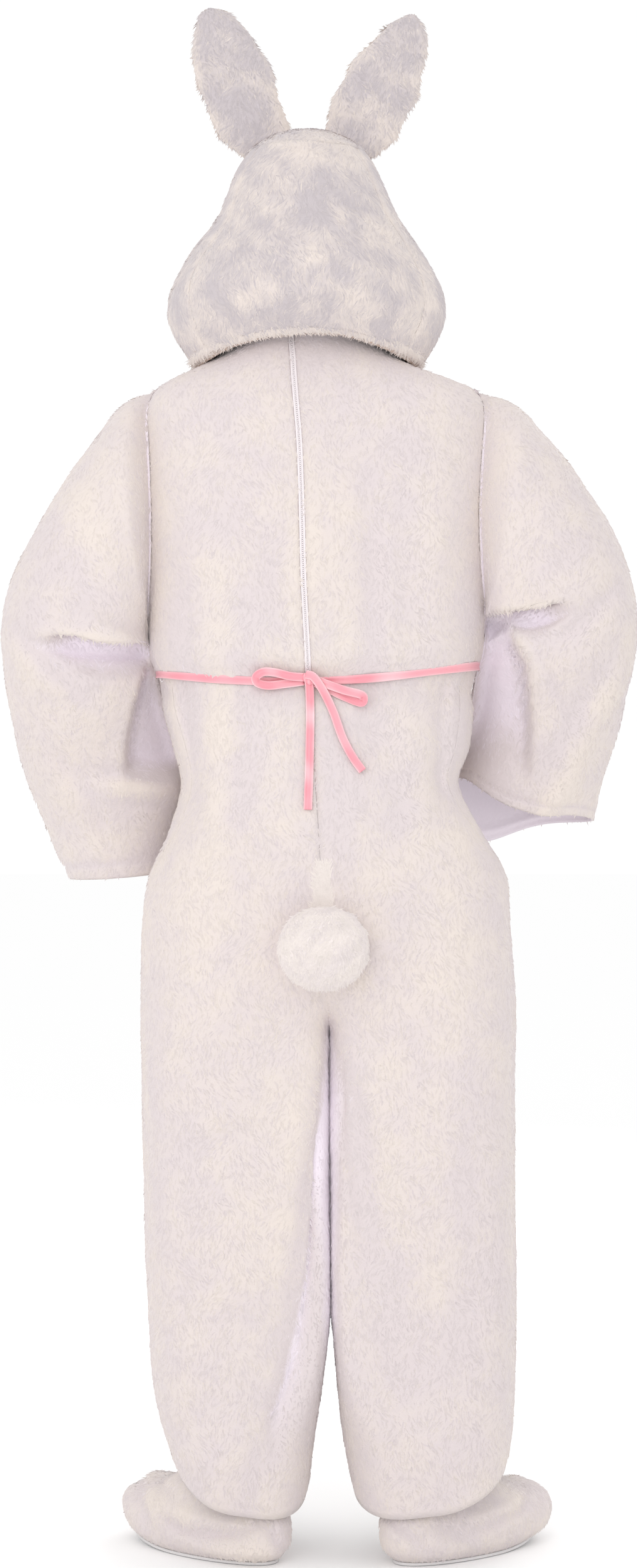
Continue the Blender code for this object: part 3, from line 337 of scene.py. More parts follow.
def plush_material(name, cool=(0.655, 0.586, 0.590), warm=(0.712, 0.638, 0.590)):
    """White short-pile plush in random cool and cream patches, with painted highlight and shade from its
    tint.
    """
    material = bpy.data.materials.new(name)
    material.use_nodes = True
    nodes, links = material.node_tree.nodes, material.node_tree.links
    shader = nodes["Principled BSDF"]
    shader.inputs["Roughness"].default_value = 0.92
    shader.inputs["Specular IOR Level"].default_value = 0.12
    shader.inputs["Sheen Weight"].default_value = 0.35
    shader.inputs["Sheen Roughness"].default_value = 0.55
    shader.inputs["Sheen Tint"].default_value = (1.0, 0.97, 0.94, 1.0)
    place = nodes.new("ShaderNodeTexCoord")
    patches = nodes.new("ShaderNodeTexNoise")
    patches.inputs["Scale"].default_value = 22.0
    patches.inputs["Detail"].default_value = 5.0
    patches.inputs["Roughness"].default_value = 0.62
    tufts = nodes.new("ShaderNodeTexNoise")
    tufts.inputs["Scale"].default_value = 210.0
    tufts.inputs["Detail"].default_value = 3.0
    links.new(place.outputs["Object"], patches.inputs["Vector"])
    links.new(place.outputs["Object"], tufts.inputs["Vector"])
    # The tint attribute shifts the colour towards cream for painted highlight and towards cool for painted
    # shade.
    tint = nodes.new("ShaderNodeAttribute")
    tint.attribute_name = "tint"
    add = nodes.new("ShaderNodeMath")
    add.operation = "ADD"
    links.new(patches.outputs["Fac"], add.inputs[0])
    links.new(tint.outputs["Fac"], add.inputs[1])
    level = nodes.new("ShaderNodeMapRange")
    level.inputs["From Min"].default_value = 0.34
    level.inputs["From Max"].default_value = 0.78
    links.new(add.outputs["Value"], level.inputs["Value"])
    ground = nodes.new("ShaderNodeMix")
    ground.data_type = "RGBA"
    ground.inputs["A"].default_value = (*cool, 1.0)
    ground.inputs["B"].default_value = (*warm, 1.0)
    links.new(level.outputs["Result"], ground.inputs["Factor"])
    # Where the tint falls below -0.35 the colour turns to a light lavender: painted shade colour for deep
    # hollows and gaps, lighter than the cloth so that they don't go dark.
    deep = nodes.new("ShaderNodeMapRange")
    deep.inputs["From Min"].default_value = -0.35
    deep.inputs["From Max"].default_value = -1.0
    links.new(tint.outputs["Fac"], deep.inputs["Value"])
    hollow = nodes.new("ShaderNodeMix")
    hollow.data_type = "RGBA"
    hollow.inputs["B"].default_value = (0.84, 0.77, 0.84, 1.0)
    links.new(deep.outputs["Result"], hollow.inputs["Factor"])
    links.new(ground.outputs["Result"], hollow.inputs["A"])
    shade = nodes.new("ShaderNodeMix")
    shade.data_type = "RGBA"
    shade.blend_type = "MULTIPLY"
    shade.inputs["B"].default_value = (0.965, 0.96, 0.962, 1.0)
    links.new(tufts.outputs["Fac"], shade.inputs["Factor"])
    links.new(hollow.outputs["Result"], shade.inputs["A"])
    links.new(shade.outputs["Result"], shader.inputs["Base Color"])
    bump = nodes.new("ShaderNodeBump")
    bump.inputs["Strength"].default_value = 0.20
    bump.inputs["Distance"].default_value = 0.004
    links.new(tufts.outputs["Fac"], bump.inputs["Height"])
    links.new(bump.outputs["Normal"], shader.inputs["Normal"])
    return material


plush = plush_material("white_plush")


def pile(name, outer, normals, tint, material, count, seed, length=0.0075, width=0.0030, closed_ring=False,
         rise=PILE_RISE, nap=(0.0, 0.0, -1.0)):
    """The cloth's pile: small pointed tufts rooted in a grid of cloth, lying along the nap in swirls."""
    rng = np.random.default_rng(seed)
    if closed_ring:
        outer, normals = (np.concatenate([a, a[:, :1]], axis=1) for a in (outer, normals))
        tint = np.concatenate([tint, tint[:, :1]], axis=1)
    corner = outer[:-1, :-1]
    size = np.linalg.norm(np.cross(outer[1:, :-1] - corner, outer[:-1, 1:] - corner), axis=2)
    cells = np.searchsorted(np.cumsum(size.ravel()) / size.sum(), rng.random(count))
    cells = np.minimum(cells, size.size - 1)
    row, col = np.divmod(cells, size.shape[1])
    u, v = rng.random(count)[:, None], rng.random(count)[:, None]

    def blend(a):
        """Values of a grid at the roots of the tufts."""
        return ((1 - u) * (1 - v) * a[row, col] + (1 - u) * v * a[row, col + 1]
                + u * (1 - v) * a[row + 1, col] + u * v * a[row + 1, col + 1])

    root, up = blend(outer), blend(normals)
    up /= np.linalg.norm(up, axis=1, keepdims=True)
    # The tufts take the cloth's tint at their roots, with its painted highlight and shade.
    warm = blend(tint[..., None])[:, 0]
    swirl = wander(root, 0.030, seed + 1)[:, None]
    swirl_fine = wander(root, 0.011, seed + 2)[:, None]
    lie = np.array(nap) + np.zeros_like(up)
    lie = lie + 0.8 * np.cross(up, lie) * (0.7 * swirl + 0.6 * swirl_fine)
    lie += rng.normal(scale=0.28, size=up.shape)
    lie -= up * np.sum(lie * up, axis=1, keepdims=True)
    lie /= np.linalg.norm(lie, axis=1, keepdims=True) + 1e-9
    reach = length * rng.uniform(0.65, 1.15, (count, 1))
    height = rise * rng.uniform(0.5, 1.15, (count, 1)) * (1.0 + 0.35 * swirl_fine)
    tip = root + lie * reach + up * height
    side = np.cross(up, lie)
    half = 0.5 * width * rng.uniform(0.7, 1.3, (count, 1))
    low = root - up * 0.0006
    verts = np.stack([low + side * half, low - side * half, low - lie * half * 0.8 - up * 0.0002
                      + up * 0.0011, tip], axis=1).reshape(-1, 3)
    first = np.arange(count)[:, None] * 4
    faces = (first[:, None, :] + np.array([[1, 0, 3], [0, 2, 3], [2, 1, 3], [0, 1, 2]])[None]).reshape(-1, 3)
    # The tufts are shaded almost as the cloth under them, bent a little to the back or the front, so that the
    # edges of the cloth don't go dark. They cast no shadow for the same reason.
    lean = up + 0.035 * rng.normal(size=up.shape) + 0.05 * lie
    lean[:, 1] += 0.50 * np.tanh(6.0 * (up[:, 1] + 0.15)) * (1.0 - np.abs(up[:, 1]))
    lean /= np.linalg.norm(lean, axis=1, keepdims=True)
    shade = np.repeat(warm + 0.10 * rng.normal(size=count), 4)
    corners = np.stack([-lean, lean, lean, lean], axis=1).reshape(-1, 3)
    tufts = new_piece(name, verts, faces, material, tint=shade, normals=np.repeat(corners, 3, axis=0))
    tufts.visible_shadow = False
    tufts.visible_diffuse = False
    return tufts


def leg_gap(side, height):
    """Distance from the centre seam to a panel's inner edge."""
    return np.interp(height, [row[0] for row in LEG_PARTING[::-1]],
                     [row[1 if side == "left" else 2] for row in LEG_PARTING[::-1]])


def body_section(side, height):
    """One side of the body at a height: centre, signed half-width, back, front, inner edge, side seam."""
    seam, left, right, back, front, turn = read_table(BODY, height)
    sign = 1.0 if side == "left" else -1.0
    outer = (left if side == "left" else right) - sign * SINK
    parted = smooth((RISE[0] - height) / (RISE[0] - RISE[1]))
    inner = seam + sign * leg_gap(side, height)
    centre = seam + (0.5 * (outer + inner) - seam) * parted
    return centre, outer - centre, back - SINK, front + SINK, inner, turn


def panel_turns(panel, side, height, across):
    """Turns of the points across a panel, 0 at the side, 90 at the back, -90 at the front."""
    centre, half, back, front, inner, side_turn = body_section(side, height)
    backwards = panel == "suit_back"
    start = side_turn if backwards else -side_turn
    high = (height - ARMHOLE["height"]) / ARMHOLE["half_height"]
    if abs(high) < 1.0:
        reach = ARMHOLE["half_depth"] * math.sqrt(1.0 - high * high) / (back if backwards else -front)
        start = max(start, math.degrees(math.asin(min(0.95, reach) ** (SQUARE / 2.0))))
    share = np.clip((inner - centre) / half, -1.0, 1.0)
    end = math.degrees(math.acos(math.copysign(abs(share) ** (SQUARE / 2.0), share)))
    turns = start + (end - start) * across
    return turns if backwards else -turns


def ribbon_height(x):
    """Height of the ribbon around the waist: a little higher at the sides than at the centre back."""
    return WAIST + 0.45 * x * x - 0.030 * x


def panel_grid(panel, side, rows=130, cols=56):
    """The outside of a body panel as a grid, with its creases, and its tint."""
    spread = np.linspace(0.0, 1.0, cols)
    across = 0.65 * spread + 0.35 * (0.5 - 0.5 * np.cos(math.pi * spread))
    heights = np.linspace(BODY[0][0], BODY[-1][0], rows)
    heights = heights[np.abs(heights - ARMHOLE["height"]) > ARMHOLE["half_height"] + 0.003]
    around = np.linspace(0.0, math.pi, SLEEVE_ROUND // 2 + 1)
    ring = ARMHOLE["height"] + ARMHOLE["half_height"] * np.cos(around)
    heights = np.sort(np.concatenate([heights, ring]))[::-1]
    rows = len(heights)
    grid = np.zeros((rows, cols, 3))
    facing = np.zeros((rows, cols, 3))
    for r, height in enumerate(heights):
        centre, half, back, front, _, _ = body_section(side, height)
        angle = np.radians(panel_turns(panel, side, height, across))
        square = SQUARE + 5.0 * smooth((0.700 - height) / 0.100) * smooth((height - 0.120) / 0.150) * (
            np.cos(angle) < 0.0)
        x, y = (np.sign(part) * np.abs(part) ** (2.0 / square) for part in (np.cos(angle), np.sin(angle)))
        depth = np.where(angle >= 0.0, back, -front)
        grid[r, :, 0] = centre + half * x
        grid[r, :, 1] = depth * y
        low = max(0.0, (HEM_RISE["from"] - height) / (HEM_RISE["from"] - BODY[-1][0]))
        rise = HEM_RISE["mean"] + HEM_RISE["outer"] * np.cos(angle) - HEM_RISE["front"] * np.sin(angle)
        grid[r, :, 2] = height + rise * low * low
        facing[r, :, 0] = math.copysign(1.0, half) * np.cos(angle)
        facing[r, :, 1] = np.sin(angle)
    normals = grid_normals(grid, facing)
    creases = BACK_CREASES if panel == "suit_back" else FRONT_CREASES
    edge = smooth(14.0 * across) * smooth(14.0 * (1.0 - across))
    creased = crease_lift(grid[..., 0], grid[..., 2], creases)
    creased *= np.clip(np.abs(normals[..., 1]) * 1.6, 0.0, 1.0)
    creased *= edge[None, :]
    lift = creased + 0.0012 * wander(grid, 0.060, 5) * edge[None, :]
    gather = np.exp(-((grid[..., 2] - WAIST) / 0.018) ** 2)
    lift += 0.0016 * gather * np.sin(grid[..., 0] * 330.0 + 2.0 * wander(grid, 0.05, 9)) * edge[None, :]
    seam_line = np.exp(-((across * 30.0) ** 2)) + np.exp(-(((1.0 - across) * 30.0) ** 2))
    lift *= 1.0 - 0.85 * np.exp(-((grid[..., 2] - ribbon_height(grid[..., 0])) / 0.009) ** 2)
    lift -= 0.0007 * np.exp(-((across / 0.022) ** 2))[None, :]
    drape = wander(grid * np.array([1.0, 1.0, 0.14]), 0.030, 13)
    hang = np.exp(-((grid[..., 2] - 0.960) / 0.110) ** 2)
    hang += 0.55 * np.exp(-((grid[..., 2] - 1.160) / 0.090) ** 2)
    at_ribbon = np.exp(-((grid[..., 2] - ribbon_height(grid[..., 0])) / 0.012) ** 2)
    lift += 0.0012 * drape * hang * edge[None, :] * (1.0 - at_ribbon)
    # The tint follows the cloth: painted highlight (cream) where folds, creases and drapes lift it, painted
    # shade (cool) where they sink it; a little creamier along the seams, with random tone.
    tint = 12.0 * lift + 20.0 * creased + 0.10 * seam_line[None, :] + 0.06 * wander(grid, 0.09, 11)
    tint += 0.16 * drape * (0.25 + hang)
    # Painted light under the head's rim: high on the back panels the tint runs down towards the light
    # lavender, so that the shade there doesn't go dark.
    tint -= 0.6 * smooth((grid[..., 2] - 1.440) / 0.060) * (panel == "suit_back")
    if panel == "suit_back":
        z, x = zip(*LEG_FOLDS[side])
        beside = (np.interp(grid[..., 2], z, x) - grid[..., 0]) * (1.0 if side == "left" else -1.0)
        inside = smooth(beside / (0.007 if side == "left" else 0.026))
        inside *= smooth((grid[..., 2] - 0.100) / 0.120)
        inside *= smooth((0.640 - grid[..., 2]) / 0.080)
        lift -= 0.012 * inside * np.clip(normals[..., 1], 0.0, 1.0)
        centre_line = np.array([read_table(BODY, z)[0] for z in grid[:, 0, 2]])[:, None]
        # A line along the centre seam between the legs, below the crotch, for painted lavender shade; it goes
        # into the tint only.
        leg_gap_shade = np.exp(-((grid[..., 0] - centre_line) / 0.0055) ** 2)
        leg_gap_shade *= smooth((0.680 - grid[..., 2]) / 0.050)
        if side == "left":
            edge_line = np.exp(-((beside - 0.004) / 0.004) ** 2) * smooth((0.620 - grid[..., 2]) / 0.060)
            edge_line *= smooth((grid[..., 2] - 0.150) / 0.080)
            lift -= 0.0060 * edge_line * np.clip(normals[..., 1], 0.0, 1.0)
            # Painted light along the left leg's fold: a cream highlight on its ridge, and lavender shade on
            # the sunk line beside it and in the sunk cloth.
            tint += 0.16 * np.exp(-((beside + 0.007) / 0.006) ** 2) * smooth((0.600 - grid[..., 2]) / 0.060)
            tint -= 0.42 * edge_line + 0.22 * inside
        # Painted lavender shade in the sunk cloth inside the fold and along the gap between the legs.
        tint -= 0.12 * inside + 0.75 * leg_gap_shade
    grid += normals * lift[..., None]
    grid[..., 2] += FLOOR
    return trim(grid, ZIP_HALF if panel == "suit_back" else 0.0), normals, tint


def trim(grid, zip_gap):
    """Stop the cloth short of its seams."""
    grid = grid.copy()
    step = grid[:, 1] - grid[:, 0]
    grid[:, 0] += step / np.linalg.norm(step, axis=1, keepdims=True) * 0.0002
    above = grid[:, -1, 2] - FLOOR > ZIP_END
    step = grid[:, -2] - grid[:, -1]
    step /= np.linalg.norm(step, axis=1, keepdims=True)
    if zip_gap:
        grid[above, -1] += step[above] * zip_gap
        grid[above, -2] += step[above] * zip_gap * 0.4
    legs = grid[:, -1, 2] - FLOOR < RISE[1]
    grid[legs, -1] += step[legs] * 0.0001
    return grid


for side in ("left", "right"):
    for panel in ("suit_back", "suit_front"):
        grid, normals, tint = panel_grid(panel, side)
        name = f"{panel}_{side}"
        cloth = shell(f"{name}_cloth", grid, normals, PLUSH - 0.0012, plush, tint, replaced=(name,))
        nap = pile(f"{name}_pile", grid[:-1], normals[:-1], tint[:-1], plush,
                   26000 if panel == "suit_back" else 9000,
                   seed=100 + len(name) + (7 if side == "left" else 0))

# ---- Sleeves ----
# Full-length sleeves of the same plush, set into the armholes, bent at the elbow, and open at the hem.
SLEEVE_GAP = 0.0003
SLEEVE_LENGTH = 0.62
HEM_STITCHES = 0.020
SLEEVES = {
    "left": [
        # outer x,z     inner x,z       y       depth   tilt
        (0.252, 1.391, 0.207, 1.124, 0.002, 0.098, 0.0),
        (0.302, 1.325, 0.207, 1.117, 0.006, 0.098, 0.0),
        (0.345, 1.255, 0.206, 1.110, 0.010, 0.094, 0.0),
        (0.375, 1.190, 0.205, 1.103, 0.012, 0.091, 0.0),
        (0.390, 1.128, 0.202, 1.094, 0.010, 0.088, 0.0),
        (0.386, 1.070, 0.197, 1.081, -0.004, 0.086, 0.0),
        (0.378, 1.016, 0.193, 1.052, -0.028, 0.084, 0.0),
        (0.369, 0.968, 0.179, 1.004, -0.054, 0.080, 0.0),
        (0.355, 0.918, 0.166, 0.948, -0.080, 0.077, 0.0),
        (0.336, 0.868, 0.164, 0.890, -0.100, 0.074, 0.0),
        (0.316, 0.820, 0.172, 0.832, -0.112, 0.072, 0.0),
    ],
    "right": [
        (-0.260, 1.389, -0.202, 1.127, 0.002, 0.098, 0.0),
        (-0.312, 1.326, -0.202, 1.121, 0.006, 0.098, 0.0),
        (-0.352, 1.266, -0.201, 1.115, 0.010, 0.094, 0.0),
        (-0.378, 1.208, -0.200, 1.110, 0.012, 0.091, 0.0),
        (-0.391, 1.150, -0.198, 1.102, 0.010, 0.088, 0.0),
        (-0.387, 1.094, -0.194, 1.089, 0.000, 0.086, 0.0),
        (-0.380, 1.048, -0.191, 1.065, -0.018, 0.085, 0.0),
        (-0.372, 1.006, -0.187, 1.034, -0.038, 0.083, 0.004),
        (-0.362, 0.966, -0.178, 0.992, -0.058, 0.081, 0.008),
        (-0.352, 0.928, -0.168, 0.954, -0.074, 0.079, 0.012),
        (-0.345, 0.894, -0.162, 0.922, -0.086, 0.078, 0.016),
    ],
}
# The big folds of each sleeve: along, around, half along, half around, depth.
SLEEVE_FOLDS = {
    "left": [(0.375, 118, 0.045, 50, 0.008), (0.840, 130, 0.035, 45, 0.008), (0.50, -110, 0.050, 50, -0.012),
             (0.72, -70, 0.090, 25, 0.006)],
    "right": [(0.375, 118, 0.045, 50, 0.008), (0.800, 80, 0.120, 20, 0.007), (0.50, -110, 0.050, 50, -0.012),
              (0.72, -70, 0.090, 25, 0.006)],
}
# The overhang of the upper sleeve at the elbow: its lower edge, how deep the cloth is tucked in under it, and
# over what height.
SLEEVE_LIPS = {
    "left": ([(0.2218, 1.110), (0.2695, 1.112), (0.2903, 1.117), (0.322, 1.121), (0.338, 1.117)],
             0.045, 0.030),
    "right": ([(-0.310, 1.150), (-0.302, 1.156), (-0.289, 1.159), (-0.265, 1.151), (-0.217, 1.145)],
              0.040, 0.020),
}
# The hollow between the forearm and the body: height and across of its edge, depth, top and bottom.
SLEEVE_HOLLOWS = {
    "left": ([(0.940, 0.240), (0.965, 0.240), (0.989, 0.237), (1.037, 0.227), (1.0825, 0.215),
              (1.100, 0.210)], 0.042, (1.100, 1.080), (0.980, 0.945)),
    "right": ([(0.930, -0.262), (1.024, -0.2595), (1.059, -0.257), (1.085, -0.253), (1.109, -0.239),
               (1.140, -0.232)], 0.060, (1.150, 1.130), (1.050, 0.925)),
}
# Where a hem lifts or drops: around, half around, rise.
SLEEVE_HEMS = {
    "left": [(90, 60, -0.003)],
    "right": [(150, 32, 0.026), (232, 44, -0.042), (88, 40, -0.010)],
}
HEM_REACH = 2.5      # a hem's lift fades out over this many rows of the sleeve's table
BODY_CLEAR = 0.0008  # a sleeve lies this far off the body
# Smaller creases on the back of each sleeve and, in the second list, on its front, as for the body.
SLEEVE_CREASES = {
    "left": ([
        (0.335, 1.121, 0.270, 1.116, 0.009, 0.004), (0.270, 1.114, 0.218, 1.112, 0.009, 0.004),
        (0.335, 1.105, 0.215, 1.099, 0.008, -0.006), (0.380, 1.137, 0.299, 1.064, 0.012, -0.004),
        (0.372, 1.110, 0.310, 1.044, 0.012, 0.003), (0.322, 0.976, 0.286, 0.931, 0.012, -0.003),
        (0.340, 0.968, 0.300, 0.915, 0.014, 0.003), (0.211, 1.080, 0.236, 0.965, 0.010, 0.004),
        (0.262, 0.953, 0.190, 0.950, 0.010, -0.004), (0.262, 0.938, 0.190, 0.934, 0.010, 0.004),
        (0.245, 0.916, 0.186, 0.913, 0.009, -0.003), (0.281, 0.945, 0.256, 0.845, 0.004, -0.002),
        (0.330, 1.230, 0.270, 1.160, 0.026, -0.003), (0.300, 1.290, 0.250, 1.210, 0.030, 0.003),
    ], [
        (0.350, 1.110, 0.260, 1.104, 0.012, -0.005), (0.350, 1.090, 0.250, 1.080, 0.014, 0.004),
        (0.340, 1.000, 0.270, 0.930, 0.018, -0.004), (0.330, 1.200, 0.270, 1.160, 0.026, -0.003),
    ]),
    "right": ([
        (-0.214, 1.146, -0.261, 1.150, 0.008, 0.004), (-0.261, 1.150, -0.297, 1.156, 0.008, 0.004),
        (-0.216, 1.134, -0.261, 1.138, 0.008, -0.006), (-0.261, 1.138, -0.297, 1.146, 0.008, -0.005),
        (-0.284, 1.118, -0.313, 1.128, 0.008, -0.004), (-0.313, 1.128, -0.355, 1.172, 0.010, -0.004),
        (-0.228, 1.137, -0.249, 1.083, 0.010, 0.005), (-0.249, 1.083, -0.255, 1.023, 0.010, 0.005),
        (-0.365, 1.072, -0.297, 0.931, 0.016, 0.005), (-0.297, 0.931, -0.263, 0.894, 0.014, 0.004),
        (-0.340, 1.070, -0.275, 0.950, 0.016, -0.004), (-0.274, 1.080, -0.302, 1.020, 0.004, -0.002),
        (-0.235, 1.010, -0.232, 0.960, 0.014, 0.003), (-0.330, 1.240, -0.265, 1.180, 0.026, -0.003),
    ], [
        (-0.350, 1.130, -0.260, 1.124, 0.012, -0.005), (-0.350, 1.106, -0.250, 1.098, 0.014, 0.004),
        (-0.350, 1.030, -0.270, 0.960, 0.018, -0.004), (-0.330, 1.220, -0.265, 1.190, 0.026, -0.003),
    ]),
}


def clear_of_body(side, ring):
    """Points of a sleeve, moved out to lie against the body where they would sink into it."""
    sign = 1.0 if side == "left" else -1.0
    ring = ring.copy()
    for point in ring:
        centre, half, rear, front, _, _ = body_section(side, point[2])
        reach = abs(point[1]) / ((rear if point[1] > 0 else -front) + BODY_CLEAR)
        if reach < 1.0:
            edge = centre + (half + sign * BODY_CLEAR) * (1.0 - reach ** SQUARE) ** (1.0 / SQUARE)
            point[0] = sign * max(sign * point[0], sign * edge)
    return ring


def tuck(side, ring, back):
    """A ring of a sleeve with its cloth tucked in under the overhang and in the hollow beside the body."""
    sign = 1.0 if side == "left" else -1.0
    ring = ring.copy()
    across, height = ring[:, 0].copy(), ring[:, 2].copy()
    rear = smooth(1.6 * back)
    line, depth, fall = SLEEVE_LIPS[side]
    x, z = zip(*sorted(line))
    below = np.interp(across, x, z) - height
    far = max(x, key=abs)
    share = smooth(below / 0.005) * rear * smooth(sign * (far - across) / 0.050)
    lip = depth * share * np.exp(-(np.maximum(below - 0.005, 0.0) / fall) ** 2)
    ring[:, 2] += 0.012 * share * np.exp(-(below / 0.016) ** 2)
    line, depth, top, bottom = SLEEVE_HOLLOWS[side]
    z, x = zip(*line)
    beside = sign * (np.interp(height, z, x) - across)
    share = smooth(beside / 0.008) * rear * smooth((top[0] - height) / (top[0] - top[1]))
    share *= smooth((height - bottom[1]) / (bottom[0] - bottom[1]))
    ring[:, 0] += sign * 0.005 * share * np.exp(-(beside / 0.014) ** 2)
    ring[:, 1] -= np.maximum(lip, depth * share)
    return ring, np.maximum(lip / SLEEVE_LIPS[side][1], share)


def sleeve_grid(side, rows=132, cols=SLEEVE_ROUND):
    """The outside of a sleeve as rings from the armhole to the hem, with its creases, and its tint."""
    sign = 1.0 if side == "left" else -1.0
    table = [(k + 1.0, *row) for k, row in enumerate(SLEEVES[side])]
    around = math.tau * np.arange(cols) / cols
    up, back = np.cos(around), np.sin(around)
    seam = []
    for a, b in zip(up, back):
        height, depth = ARMHOLE["height"] + ARMHOLE["half_height"] * a, ARMHOLE["half_depth"] * b
        centre, half, rear, front, _, _ = body_section(side, height)
        reach = abs(depth / (rear if depth > 0 else -front))
        edge = centre + half * (1.0 - reach ** SQUARE) ** (1.0 / SQUARE) + sign * SLEEVE_GAP
        seam.append((edge, depth, height))
    seam = np.array(seam)
    grid = np.zeros((rows, cols, 3))
    facing = np.zeros((rows, cols, 3))
    sunk = np.zeros((rows, cols))
    for k in range(rows):
        along = k / (rows - 1) * len(table)
        outer_x, outer_z, inner_x, inner_z, y, half_depth, tilt = read_table(table, max(along, 1.0))
        radial = np.stack([0.5 * (outer_x - inner_x) * up, half_depth * back,
                           0.5 * (outer_z - inner_z) * up], -1)
        middle = np.array([0.5 * (outer_x + inner_x), y, 0.5 * (outer_z + inner_z)])
        lift = np.zeros(cols)
        for fold_along, fold_around, long, wide, deep in SLEEVE_FOLDS[side]:
            off = (np.degrees(around) - fold_around + 180.0) % 360.0 - 180.0
            lift += deep * np.exp(-((along / len(table) - fold_along) / long) ** 2 - (off / wide) ** 2)
        unit = radial / np.linalg.norm(radial, axis=1, keepdims=True)
        ring = middle + radial + unit * (lift - 0.0010)[:, None]
        ring[:, 2] += 0.5 * tilt * back
        near_hem = smooth(max(0.0, 1.0 - (len(table) - max(along, 1.0)) / HEM_REACH))
        for hem_around, wide, rise in SLEEVE_HEMS[side]:
            off = (np.degrees(around) - hem_around + 180.0) % 360.0 - 180.0
            ring[:, 2] += rise * near_hem * np.exp(-(off / wide) ** 2)
        ring, sunk[k] = tuck(side, ring, back)
        ring = clear_of_body(side, ring)
        grid[k] = ring
        facing[k] = unit
    # From the armhole to the first row of the table the sleeve runs in one curve, for a round shoulder.
    first = int(np.ceil((rows - 1) / len(table)))
    share = np.arange(first)[:, None, None] * len(table) / (rows - 1)
    reach = grid[first] - seam
    turn = (grid[2 * first] - grid[first]) * (rows - 1) / len(table) / first - reach
    grid[:first] = seam + reach * share + 0.5 * turn * (share ** 3 - share)
    normals = grid_normals(grid, facing, closed_ring=True)
    rear, front = (crease_lift(grid[..., 0], grid[..., 2], lines) for lines in SLEEVE_CREASES[side])
    ends = smooth(np.linspace(0.0, 20.0, rows))[:, None]
    creased = np.where(normals[..., 1] > 0, rear, front)
    creased *= np.clip(np.abs(normals[..., 1]) * 1.6, 0.0, 1.0)
    creased *= ends
    lift = 1.2 * creased + 0.0010 * wander(grid, 0.055, 21) * ends
    from_hem = (1.0 - np.linspace(0.0, 1.0, rows))[:, None] * SLEEVE_LENGTH
    lift -= 0.0022 * np.exp(-((from_hem - HEM_STITCHES) / 0.0045) ** 2)
    lift -= 0.0006 * np.exp(-((SLEEVE_LENGTH - from_hem) / 0.005) ** 2)
    grid += normals * lift[..., None]
    # The tint follows the folds as on the body, painted highlight where lifted and painted shade where sunk;
    # the cloth tucked under the overhang and into the hollow by the body takes the light lavender painted
    # shade colour.
    tint = 20.0 * lift + 36.0 * creased + 0.06 * wander(grid, 0.09, 23) - 1.1 * sunk
    tint -= 0.25 * np.exp(-((from_hem - HEM_STITCHES) / 0.0045) ** 2)
    # The flap under the armhole seam, seen through its gap, is tinted a little cooler: painted shade.
    under = grid[0] + np.stack([np.full(cols, -sign * 0.0026), 0.0060 * back, 0.0060 * up], -1)
    grid = np.concatenate([under[None], grid])
    normals = np.concatenate([normals[:1], normals])
    tint = np.concatenate([tint[:1] - 0.1, tint])
    grid[..., 2] += FLOOR
    return grid, normals, tint


for side in ("left", "right"):
    grid, normals, tint = sleeve_grid(side)
    # The inner walls take the light lavender painted shade colour, for the shade inside the sleeves.
    cloth = shell(f"sleeve_{side}_cloth", grid, normals, PLUSH - 0.0008, plush, tint, closed_ring=True,
                  inside=-1.2, replaced=(f"sleeve_{side}",))
    nap = pile(f"sleeve_{side}_pile", grid[1:-1], normals[1:-1], tint[1:-1], plush, 15000,
               seed=211 + len(side), closed_ring=True)
    over_seam = pile(f"armhole_{side}_pile", grid[0:4], normals[0:4], tint[0:4], plush, 1400,
                     seed=221 + len(side), closed_ring=True)

# ---- Zip ----
# A white nylon zip down the centre back, from the neck to the waist: two woven tapes sewn in behind the
# plush, each with a raised welt along its edge, and a row of moulded teeth that mesh between them.


def grained_material(name, grain, dark, light, **finish):
    """A material of two close tones in a fine grain, with the finish given for its shader."""
    material = bpy.data.materials.new(name)
    material.use_nodes = True
    nodes, links = material.node_tree.nodes, material.node_tree.links
    shader = nodes["Principled BSDF"]
    for socket, value in finish.items():
        shader.inputs[socket.capitalize()].default_value = value
    speckle = nodes.new("ShaderNodeTexNoise")
    speckle.inputs["Scale"].default_value = grain
    tone = nodes.new("ShaderNodeMix")
    tone.data_type = "RGBA"
    tone.inputs["A"].default_value = (*dark, 1.0)
    tone.inputs["B"].default_value = (*light, 1.0)
    links.new(speckle.outputs["Fac"], tone.inputs["Factor"])
    links.new(tone.outputs["Result"], shader.inputs["Base Color"])
    return material


ZIP_TOP = 1.527
ZIP_TOOTH = (0.0011, 0.0006, 0.0008)  # half sizes
ZIP_PITCH = 0.0024
# One half of the zip across its tape, from the teeth out: off the centre seam, and off the back.
ZIP_PROFILE = [
    (0.0003, -0.0008), (0.0011, -0.0008), (0.0015, -0.0002), (0.0019, 0.0004), (0.0024, 0.0007),
    (0.0029, 0.0004), (0.0033, -0.0002), (0.0037, -0.0008), (0.0046, -0.0020), (0.0078, -0.0034),
]
zip_white = grained_material("zip_nylon_white", 900.0, (0.74, 0.68, 0.70), (0.86, 0.81, 0.82), roughness=0.6)


def back_surface(x, height):
    """Depth of the back panels' outside at a place, as made."""
    side = "left" if x > read_table(BODY, height)[0] else "right"
    centre, half, back, _, _, _ = body_section(side, height)
    share = min(1.0, abs((x - centre) / half))
    return back * (1.0 - share ** SQUARE) ** (1.0 / SQUARE)


